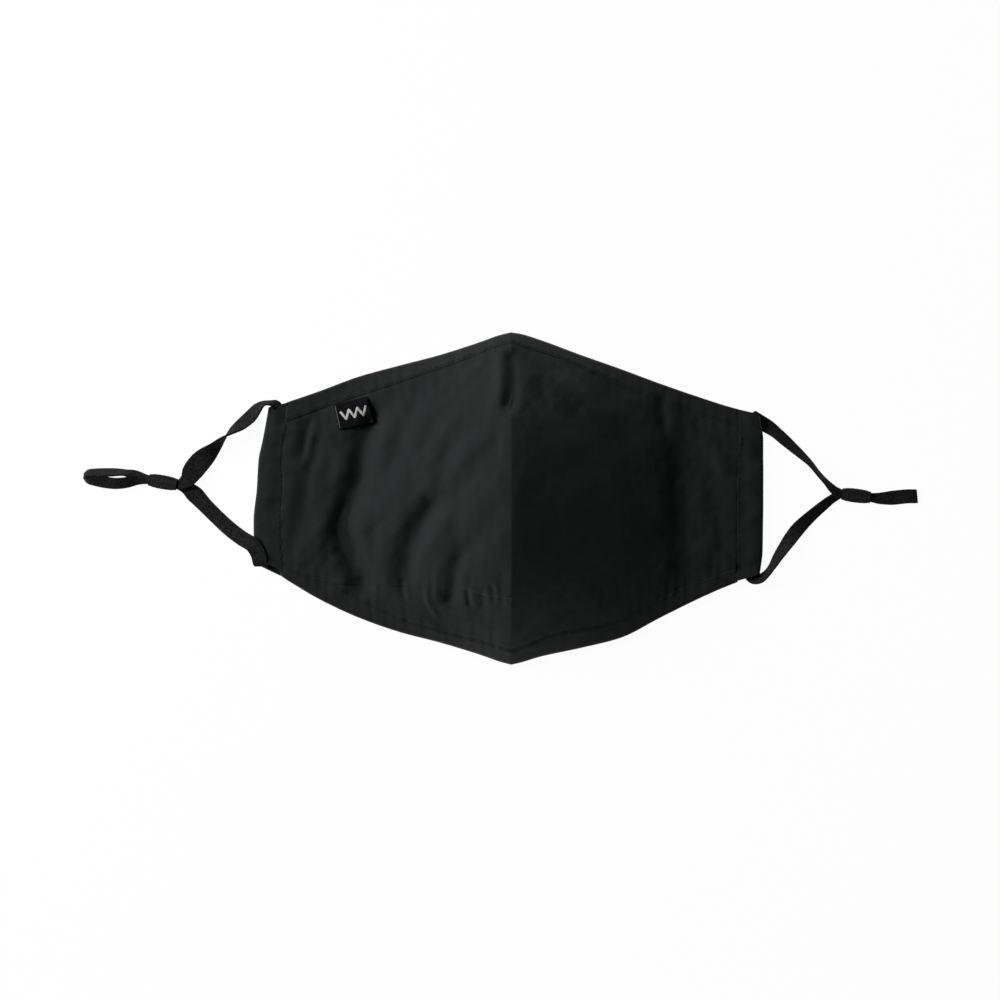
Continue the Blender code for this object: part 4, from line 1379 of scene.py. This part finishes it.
def slider_pass(place: SliderPlace, upper: bool, outward: bool, lean: float) -> list[RouteRow]:
    """Route rows through a slider.

    Args:
        place: The slider.
        upper: Whether it is the upper of the two passes.
        outward: Whether the band runs away from the mask.
        lean: Lean of the band in degrees.

    Returns:
        The rows.
    """
    height = SLIDER_WALL + SLIDER_FIT + BAND_THICK / 2.0 + (BAND_THICK + SLIDER_FIT) * upper
    reach = (SLIDER_LENGTH / 2.0 + SLIDER_MOUTH) / MM
    rows = []
    for share in SLIDER_PASS:
        along = reach * share * (1.0 if outward else -1.0)
        x, y = place.x + math.cos(place.turn) * along, place.y + math.sin(place.turn) * along
        rows.append(RouteRow(x, y, height / MM, lean, SLIDER_SQUEEZE))
    return rows


def band_sides(points: Sequence[Vector], route: Sequence[RouteRow]) -> list[Vector]:
    """Direction across the band at each row of a closed route.

    Args:
        points: The route's points.
        route: Its rows.

    Returns:
        The directions.
    """
    upright = Vector((0.0, 0.0, 1.0))
    ahead = [(points[(i + 1) % len(points)] - points[i - 1]).normalized() for i in range(len(points))]
    sides: list[Optional[Vector]] = []
    for way, row in zip(ahead, route):
        lean = math.radians(row.lean or 0.0)
        face = upright * math.cos(lean) + upright.cross(way).normalized() * math.sin(lean)
        sides.append(None if row.lean is None else face.cross(way).normalized())
    beside = zip(sides, [sides[-1], *sides], [*sides[1:], sides[0]])
    return [(last + after).normalized() if side is None else side for side, last, after in beside]


def spline_point(points: Sequence[Vector], i: int, s: float) -> Vector:
    """Point on the closed curve through the points.

    Args:
        points: The points.
        i: Index of the point before.
        s: Share of the way to the next one.

    Returns:
        The point.
    """
    p0, p1, p2, p3 = (points[(i + k) % len(points)] for k in (-1, 0, 1, 2))
    d0, d1, d2 = (max(step.length, 1e-6) for step in (p1 - p0, p2 - p1, p3 - p2))
    m1 = ((p2 - p1) / d1 * d0 + (p1 - p0) / d0 * d1) / (d0 + d1) * d1
    m2 = ((p3 - p2) / d2 * d1 + (p2 - p1) / d1 * d2) / (d1 + d2) * d1
    return hermite(s, p1, m1, p2, m2)


@dataclass
class EarLoop:
    """Closed flat elastic band through a channel and twice through a slider."""

    route: Sequence[RouteRow]
    elastic: Material
    step: float = 0.0009
    ribs: int = 9
    rib_height: float = 0.00005
    half_ring: int = 37
    squareness: int = 30
    rib_fade: int = 6
    tight_steps: int = 6
    smoothing: int = 3

    def stations(self) -> tuple[Array, Array, Array]:
        """Centres, directions across and widths along the closed band.

        Returns:
            The three arrays, with a row each station.
        """
        points = [Vector((row.x, row.y, row.z)) * MM for row in self.route]
        sides = band_sides(points, self.route)
        centres, across, widths = [], [], []
        for i, row in enumerate(self.route):
            after = (i + 1) % len(points)
            following = self.route[after]
            tight = row.lean is None or following.lean is None
            fewest = self.tight_steps if tight else 1
            steps = max(fewest, round((points[after] - points[i]).length / self.step))
            for s in (k / steps for k in range(steps)):
                centres.append(spline_point(points, i, s))
                across.append(sides[i].lerp(sides[after], s))
                widths.append(row.width * (1 - s) + following.width * s)
        middle, aside = (np.array([tuple(p) for p in vectors]) for vectors in (centres, across))
        width = np.array(widths) * BAND_WIDTH
        for _ in range(self.smoothing):
            aside = (np.roll(aside, 1, axis=0) + aside * 2.0 + np.roll(aside, -1, axis=0)) / 4.0
            width = (np.roll(width, 1) + width * 2.0 + np.roll(width, -1)) / 4.0
        return middle, aside, width

    def section(self, width: float) -> Array:
        """Section of the band, with its ribs.

        Args:
            width: Width of the band there.

        Returns:
            Places across and through the band, round its section.
        """
        turn = np.cos(np.linspace(0.0, math.pi, self.half_ring))
        a, share = turn * width / 2.0, np.abs(turn)
        rib = self.rib_height * np.cos(a / width * 2.0 * math.pi * self.ribs)
        rib = rib * (1.0 - share**self.rib_fade)
        b = 0.5 * BAND_THICK * np.sqrt(np.maximum(1.0 - share**self.squareness, 0.0)) + rib
        return np.concatenate([np.stack([a, b], 1), np.stack([a, -b], 1)[::-1][1:-1]])

    def build(self, word: str, slider: Piece, exit_row: RouteRow, length: float) -> None:
        """Args:
            word: Its side in the piece's name.
            slider: The slider on it. Not used.
            exit_row: Where it leaves its channel. Not used.
            length: Its real length. Not used.
        """
        middle, aside, width = self.stations()
        ahead = unit(np.roll(middle, -1, axis=0) - np.roll(middle, 1, axis=0))
        aside = unit(aside - ahead * np.sum(ahead * aside, axis=1)[:, None])
        face = np.cross(ahead, aside)
        reach = np.abs(aside[:, 2]) * width / 2.0 + np.abs(face[:, 2]) * BAND_THICK / 2.0
        middle[:, 2] = np.maximum(middle[:, 2], reach + BAND_REST)
        rings = []
        for centre, side, up, wide in zip(middle, aside, face, width):
            section = self.section(wide)
            rings.append(centre + side * section[:, :1] + up * section[:, 1:])
        piece = loft(f"elastic_loop_{word}", rings, self.elastic, False, 80.0)
        dress(piece, "elastic", f"ear_loop_{word}")


@dataclass
class SliderSleeve:
    """Short knitted sleeve round the two passes of an ear loop."""

    place: SliderPlace
    knit: Material
    columns: int = 36
    around: int = 84
    girth: float = 0.0205
    ribs: int = 16
    rib_height: float = 0.00005
    wall: float = 0.00050
    weld: float = 0.00002
    wave_height: float = 0.00004
    wave_turns: float = 19.0
    belly: float = 1.05
    waist: float = 0.20
    belly_power: float = 2.5
    rib_fade: int = 8
    wide_power: float = 0.42
    tall_power: float = 0.62

    def roll(self, vertices: Sequence[bpy.types.MeshVertex]) -> None:
        """Bend a flat square of points round the sleeve.

        Args:
            vertices: The points, from -0.5 to 0.5 each way.
        """
        width = BAND_WIDTH * SLIDER_SQUEEZE + 2.0 * SLIDER_FIT + 2.0 * SLIDER_WALL
        height = 2.0 * BAND_THICK + 3.0 * SLIDER_FIT + 2.0 * SLIDER_WALL
        axis = Vector((math.cos(self.place.turn), math.sin(self.place.turn), 0.0))
        across = Vector((-axis.y, axis.x, 0.0))
        middle = Vector((self.place.x * MM, self.place.y * MM, height / 2.0))
        for vertex in vertices:
            share, turn = vertex.co.x * 2.0, vertex.co.y * 2.0 * math.pi
            swell = self.belly - self.waist * abs(share) ** self.belly_power
            rib = self.rib_height * math.cos(turn * self.ribs) * (1.0 - abs(share) ** self.rib_fade)
            wave = self.wave_height * math.cos(share * self.wave_turns)
            c, s = math.cos(turn), math.sin(turn)
            wide = math.copysign(abs(c) ** self.wide_power, c) * (width * swell / 2.0 + rib + wave)
            tall = math.copysign(abs(s) ** self.tall_power, s) * (height / 2.0 + rib * 0.7 + wave * 0.5)
            vertex.co = middle + axis * share * SLIDER_LENGTH / 2.0 + across * wide + Vector((0, 0, tall))

    def build(self, word: str) -> Piece:
        """Build the sleeve from a knitted sheet.

        Args:
            word: Its side in the piece's name.

        Returns:
            The piece.
        """
        bpy.ops.object.select_all(action="DESELECT")
        bpy.ops.mesh.primitive_grid_add(x_subdivisions=self.columns, y_subdivisions=self.around, size=1.0)
        piece = bpy.context.object
        piece.name = piece.data.name = f"sleeve_slider_{word}"
        layer = piece.data.uv_layers[0]
        layer.name = "surface"
        for loop in piece.data.loops:
            co = piece.data.vertices[loop.vertex_index].co
            layer.data[loop.index].uv = ((co.x + 0.5) * SLIDER_LENGTH, (co.y + 0.5) * self.girth)
        self.roll(piece.data.vertices)
        bpy.ops.object.mode_set(mode="EDIT")
        bpy.ops.mesh.select_all(action="SELECT")
        bpy.ops.mesh.remove_doubles(threshold=self.weld)
        bpy.ops.mesh.normals_make_consistent(inside=False)
        bpy.ops.object.mode_set(mode="OBJECT")
        wall = piece.modifiers.new("wall", "SOLIDIFY")
        wall.thickness = self.wall
        wall.offset = -1.0
        bpy.ops.object.modifier_apply(modifier=wall.name)
        bpy.ops.object.shade_smooth_by_angle(angle=math.radians(60.0))
        piece.location = (0.0, 0.0, 0.0)
        piece.data.materials.clear()
        piece.data.materials.append(self.knit)
        return dress(piece, "knit", f"slider_{word}")


@dataclass
class LabelTab:
    """Small woven tab below the top hem, with a plain zigzag."""

    form: ClothForm
    tape: Material
    pale: Material
    grey: Material
    thick: float = 0.00055
    clear: float = 0.00050
    edge_round: float = 0.00035
    columns: int = 48
    rows: int = 36
    sample_reach: float = 2.4 * MM
    corner_lift: float = 0.0007
    corner_start: float = 0.35
    ripple_height: float = 0.00008
    ripple_lengths: tuple[float, float] = (2.6 * MM, 3.1 * MM)
    thread_step: float = 0.25 * MM
    thread_rise: float = 0.00016
    thread_twist: float = 0.00003
    thread_sunk: float = 0.0002
    zigzag_width: float = 0.00105
    line_width: float = 0.00034
    line_ends: tuple[tuple[float, float], ...] = ((-7.3, 5.2), (-7.3, -5.2))
    thread_shares: tuple[float, ...] = (-0.5, -0.42, -0.2, 0.0, 0.2, 0.42, 0.5)

    def __post_init__(self) -> None:
        """Place the tab's own axes."""
        self.centre = np.array([RIDGE_X - LEFT_REACH * LABEL_REACH, HALF_HEIGHT * LABEL_RISE])
        self.right = np.array([math.cos(LABEL_TILT), math.sin(LABEL_TILT)])
        self.up = np.array([-self.right[1], self.right[0]])

    def plan(self, a: Array, b: Array) -> list[Array]:
        """X and Y of points that lie a along the tab and b up it from its middle."""
        return [self.centre[i] + self.right[i] * a + self.up[i] * b for i in (0, 1)]

    def height(self, a: Array, b: Array) -> Array:
        """Height of the tab's upper face.

        Args:
            a: Places along the tab.
            b: Places up the tab.

        Returns:
            The height at each place.
        """
        total = np.zeros(np.broadcast(a, b).shape)
        reach = self.sample_reach
        for da, db in ((0.0, 0.0), (reach, 0.0), (-reach, 0.0), (0.0, reach), (0.0, -reach)):
            total = np.maximum(total, self.form.height(LEFT, *self.plan(a + da, b + db)))
        toward = a / LABEL_LENGTH + 0.5 - (b / LABEL_DROP + 0.5)
        corner = ease((toward - self.corner_start) / (1.0 - self.corner_start))
        ripple = self.ripple_height * np.sin(a / self.ripple_lengths[0]) * np.cos(b / self.ripple_lengths[1])
        return total + self.clear + self.thick + self.corner_lift * corner + ripple

    def strip(self, name: str, path: Sequence[tuple[float, float]], width: float, material: Material) -> None:
        """Build a raised line of thread on the tab.

        Args:
            name: Name of the piece.
            path: Its corners in millimetres on the tab.
            width: Its width.
            material: Its finish.
        """
        corners = np.array(path) * MM
        points = [corners[0]]
        for a, b in zip(corners, corners[1:]):
            count = max(2, round(float(np.hypot(*(b - a))) / self.thread_step))
            points += [a + (b - a) * k / count for k in range(1, count + 1)]
        line = np.array(points)
        ahead = unit(np.gradient(line, axis=0))
        shares = np.array(self.thread_shares)
        a = line[:, :1] - ahead[:, 1:] * shares * width
        b = line[:, 1:] + ahead[:, :1] * shares * width
        surface = self.height(a, b)
        rise = self.thread_rise * np.sqrt(1.0 - (np.abs(shares) * 1.9) ** 2)[None, :]
        upper = surface + rise + self.thread_twist * np.sin(np.arange(len(line)) * 1.9)[:, None]
        piece = shell_object(name, *self.plan(a, b), upper, surface - self.thread_sunk, material)
        mesh_outward(piece)
        dress(piece, "woven_label")

    def build(self) -> None:
        a = np.linspace(-0.5, 0.5, self.columns)[:, None] * LABEL_LENGTH
        b = np.linspace(-0.5, 0.5, self.rows)[None, :] * LABEL_DROP
        a, b = np.broadcast_arrays(a, b)
        edge = np.minimum(0.5 * LABEL_LENGTH - np.abs(a), 0.5 * LABEL_DROP - np.abs(b))
        swell = rolled(edge, self.thick, self.edge_round)
        middle = self.height(a, b) - 0.5 * self.thick
        tab = shell_object("woven_tab", *self.plan(a, b), middle + swell, middle - swell, self.tape)
        dress(tab, "woven_label", "label")
        peaks = [(-5.6 + 2.0 * k, -1.9 if k % 2 else 2.1) for k in range(7)]
        self.strip("tab_zigzag", peaks, self.zigzag_width, self.pale)
        self.strip("tab_edge_line", self.line_ends, self.line_width, self.grey)


def mesh_outward(piece: Piece) -> None:
    """Turn a closed piece's faces outwards.

    Args:
        piece: The piece.
    """
    work = bmesh.new()
    work.from_mesh(piece.data)
    bmesh.ops.recalc_face_normals(work, faces=work.faces)
    work.to_mesh(piece.data)
    work.free()


@dataclass
class SeamStitches:
    """Rows of thread along the hems and the side channels."""

    form: ClothForm
    thread: Material
    pitch: float = 0.0027
    length: float = 0.0021
    radius: float = 0.00017
    inset: float = 0.0011
    sunk: float = 0.00005
    waver: float = 0.05
    fullness: float = 0.55
    hem_points: int = 240
    channel_points: int = 200
    seed: int = 71

    def stitch(self) -> tuple[Array, list[tuple[int, ...]]]:
        """Points and faces of one stitch, along +X at the origin.

        Returns:
            The points and the faces.
        """
        bpy.ops.object.select_all(action="DESELECT")
        lying = (0.0, math.pi / 2.0, 0.0)
        bpy.ops.mesh.primitive_uv_sphere_add(segments=8, ring_count=6, radius=1.0, rotation=lying)
        bpy.ops.object.transform_apply(location=True, rotation=True, scale=True)
        bpy.ops.object.mode_set(mode="EDIT")
        bpy.ops.mesh.select_all(action="SELECT")
        bpy.ops.transform.resize(value=(self.length / 2.0, self.radius, self.radius))
        bpy.ops.object.mode_set(mode="OBJECT")
        item = bpy.context.object
        points = np.array([tuple(v.co) for v in item.data.vertices])
        full = np.sign(points[:, 0]) * np.abs(points[:, 0] * 2.0 / self.length) ** self.fullness
        points[:, 0] = full * self.length / 2.0
        faces = [tuple(face.vertices) for face in item.data.polygons]
        bpy.data.objects.remove(item, do_unlink=True)
        return points, faces

    def row(self, name: str, path: Array) -> None:
        """Build a row of stitches along a path.

        Args:
            name: Name of the piece.
            path: Points that it follows.
        """
        shape, faces = self.stitch()
        far = np.concatenate([[0.0], np.cumsum(np.linalg.norm(np.diff(path, axis=0), axis=1))])
        rng = np.random.default_rng(self.seed)
        points, all_faces = [], []
        for k in range(int(far[-1] / self.pitch)):
            at = (k + 0.5) * self.pitch
            span = at - 0.5 * MM, at + 0.5 * MM
            here, there = np.array([np.interp(span, far, axis) for axis in path.T]).T
            ahead = (there - here) / np.linalg.norm(there - here)
            across = np.cross([0.0, 0.0, 1.0], ahead)
            across /= np.linalg.norm(across)
            ahead = ahead + across * rng.uniform(-self.waver, self.waver)
            placed = (here + there) / 2.0 + shape[:, :1] * ahead + shape[:, 1:2] * across
            offset = len(shape) * len(points)
            points.append(placed + shape[:, 2:] * np.cross(ahead, across))
            all_faces += [tuple(i + offset for i in face) for face in faces]
        dress(mesh_object(name, np.concatenate(points), all_faces, None, self.thread), "cloth")

    def hem_path(self, line: Line, inset: float, proud: float) -> Array:
        """Path of the stitches along a hem.

        Args:
            line: The hem's sewn line.
            inset: How far above it the stitches run.
            proud: How far the hem stands over the panels.

        Returns:
            Its points.
        """
        parts = []
        for half in (LEFT, RIGHT):
            x = np.linspace(RIDGE_X, float(half.seam_x(np.zeros(1))[0]) - half.sign * MM, self.hem_points)
            y = half.line(line, x) + inset
            z = self.form.height(half, x, y) + proud - seam_drop(np.full_like(x, self.inset))
            path = np.stack([x, y, z - self.sunk], axis=1)
            parts.append(path[::-1] if half.side is Side.LEFT else path[1:])
        return np.concatenate(parts)

    def channel_path(self, channel: SideChannel) -> Array:
        """Path of the stitches along a channel's seam.

        Args:
            channel: The channel.

        Returns:
            Its points.
        """
        half = channel.half
        low, high = half.ends
        y = np.linspace(low + MM, high - MM, self.channel_points)
        z = channel.heights(self.inset / half.channel_width(y), y, (y - low) / (high - low))
        return np.stack([half.seam_x(y) + half.sign * self.inset, y, z - self.sunk], axis=1)

    def build(self, channels: Sequence[SideChannel]) -> None:
        """Build every row.

        Args:
            channels: The left and the right channel.
        """
        self.row("top_hem_stitches", self.hem_path(Line.TOP_HEM, self.inset, HEM_PROUD))
        self.row("low_hem_stitches", self.hem_path(Line.LOW_HEM, -self.inset, HEM_PROUD * LOW_PROUD))
        for word, channel in zip(HALVES, channels):
            self.row(f"channel_stitches_{word}", self.channel_path(channel))


@dataclass
class Studio:
    """Camera, floor and lights."""

    key_power: float = 15.5
    key_size: float = 0.8
    key_place: tuple[float, float, float] = (-1.10, 0.42, 0.74)
    key_colour: Colour = (1.0, 0.99, 0.97)
    sky_colour: Colour = (0.95, 0.98, 1.0)
    world_light: float = 0.04
    floor_size: float = 14.0
    floor_glow: float = 0.97
    clip_start: float = 0.05

    def camera(self) -> None:
        """Put the camera straight above the mask."""
        data = bpy.data.cameras.new("picture_camera")
        data.lens = LENS
        data.sensor_width = SENSOR
        data.clip_start = self.clip_start
        item = linked("picture_camera", data)
        item.location = (*VIEW_CENTRE, CAMERA_HEIGHT)
        bpy.context.scene.camera = item

    def floor(self) -> None:
        """Plain white floor that glows as an overexposed one does."""
        bpy.ops.object.select_all(action="DESELECT")
        bpy.ops.mesh.primitive_plane_add(size=self.floor_size, location=(0.0, 0.0, 0.0))
        item = bpy.context.object
        item.name = "studio_floor"
        item.data.materials.append(NodeSketch("white_floor").wear(
            Base_Color=(0.05, 0.05, 0.05, 1.0), Roughness=0.95, Specular_IOR_Level=0.0,
            Emission_Color=(1.0, 1.0, 1.0, 1.0), Emission_Strength=self.floor_glow,
        ))

    def lights(self) -> None:
        """Large soft key light from the upper left, and a dim sky."""
        data = bpy.data.lights.new("key_light", "AREA")
        data.shape = "SQUARE"
        data.size = self.key_size
        data.energy = self.key_power
        data.color = self.key_colour
        item = linked("key_light", data)
        item.location = self.key_place
        item.rotation_euler = (-Vector(self.key_place)).to_track_quat("-Z", "Y").to_euler()
        world = bpy.data.worlds.new("studio_world")
        world.use_nodes = True
        sky = world.node_tree.nodes["Background"]
        sky.inputs["Color"].default_value = (*self.sky_colour, 1.0)
        sky.inputs["Strength"].default_value = self.world_light
        bpy.context.scene.world = world

    def build(self) -> None:
        """Build the studio and set how the picture shows its light."""
        self.camera()
        self.floor()
        self.lights()
        view = bpy.context.scene.view_settings
        view.view_transform = "Standard"
        view.look = "None"
        LOG.info("studio: camera %.3f m up", CAMERA_HEIGHT)


def loop_routes() -> tuple[list[RouteRow], list[RouteRow]]:
    """Closed routes of the two ear loops, each from inside its channel.

    Returns:
        The left and the right route.
    """
    inside = [channel_middle(LEFT, along) for along in LEFT_CHANNEL_PASS]
    left = [*inside[4:], *LEFT_LOWER_LEG, *slider_pass(LEFT_SLIDER, False, True, 180.0), *LEFT_TAIL]
    left += [*slider_pass(LEFT_SLIDER, True, False, 180.0), *LEFT_UPPER_LEG, *inside[:4]]
    inside = [channel_middle(RIGHT, along) for along in RIGHT_CHANNEL_PASS]
    right = [*inside[4:], *RIGHT_UPPER_LEG, *slider_pass(RIGHT_SLIDER, True, True, 180.0), *RIGHT_TAIL]
    right += [*slider_pass(RIGHT_SLIDER, False, False, 360.0), *RIGHT_LOWER_LEG, *inside[:4]]
    return left, right


def main() -> None:
    """Build the studio and every piece of the mask."""
    logging.basicConfig(level=logging.INFO, format="%(name)s %(message)s")
    Studio().build()
    elastic, knit = ELASTIC.material(), KNIT.material()
    left_route, right_route = loop_routes()
    left_slider = SliderSleeve(LEFT_SLIDER, knit).build("left")
    right_slider = SliderSleeve(RIGHT_SLIDER, knit).build("right")
    EarLoop(left_route, elastic).build("left", left_slider, LEFT_LOWER_LEG[1], LEFT_LOOP_LENGTH)
    EarLoop(right_route, elastic).build("right", right_slider, RIGHT_UPPER_LEG[1], RIGHT_LOOP_LENGTH)
    cotton = COTTON.material()
    form = ClothForm()
    channels = [
        SideChannel(LEFT, form, cotton, Mouth(5.2, 0.3, 6.8, 0.3, 0.4, 3.0), Mouth(3.5, 1.5, 2.5, 0.7)),
        SideChannel(RIGHT, form, cotton, Mouth(4.4, 1.3, 4.4, 1.3, 0.9), Mouth(4.2, 1.9, 0.0, 0.0)),
    ]
    for word, channel in zip(HALVES, channels):
        channel.build(word)
    ClothBody(form, cotton).build()
    LabelTab(form, TAPE.material(), PALE_THREAD.material(), GREY_THREAD.material()).build()
    SeamStitches(form, BLACK_THREAD.material()).build(channels)


if __name__ == "__main__":
    main()
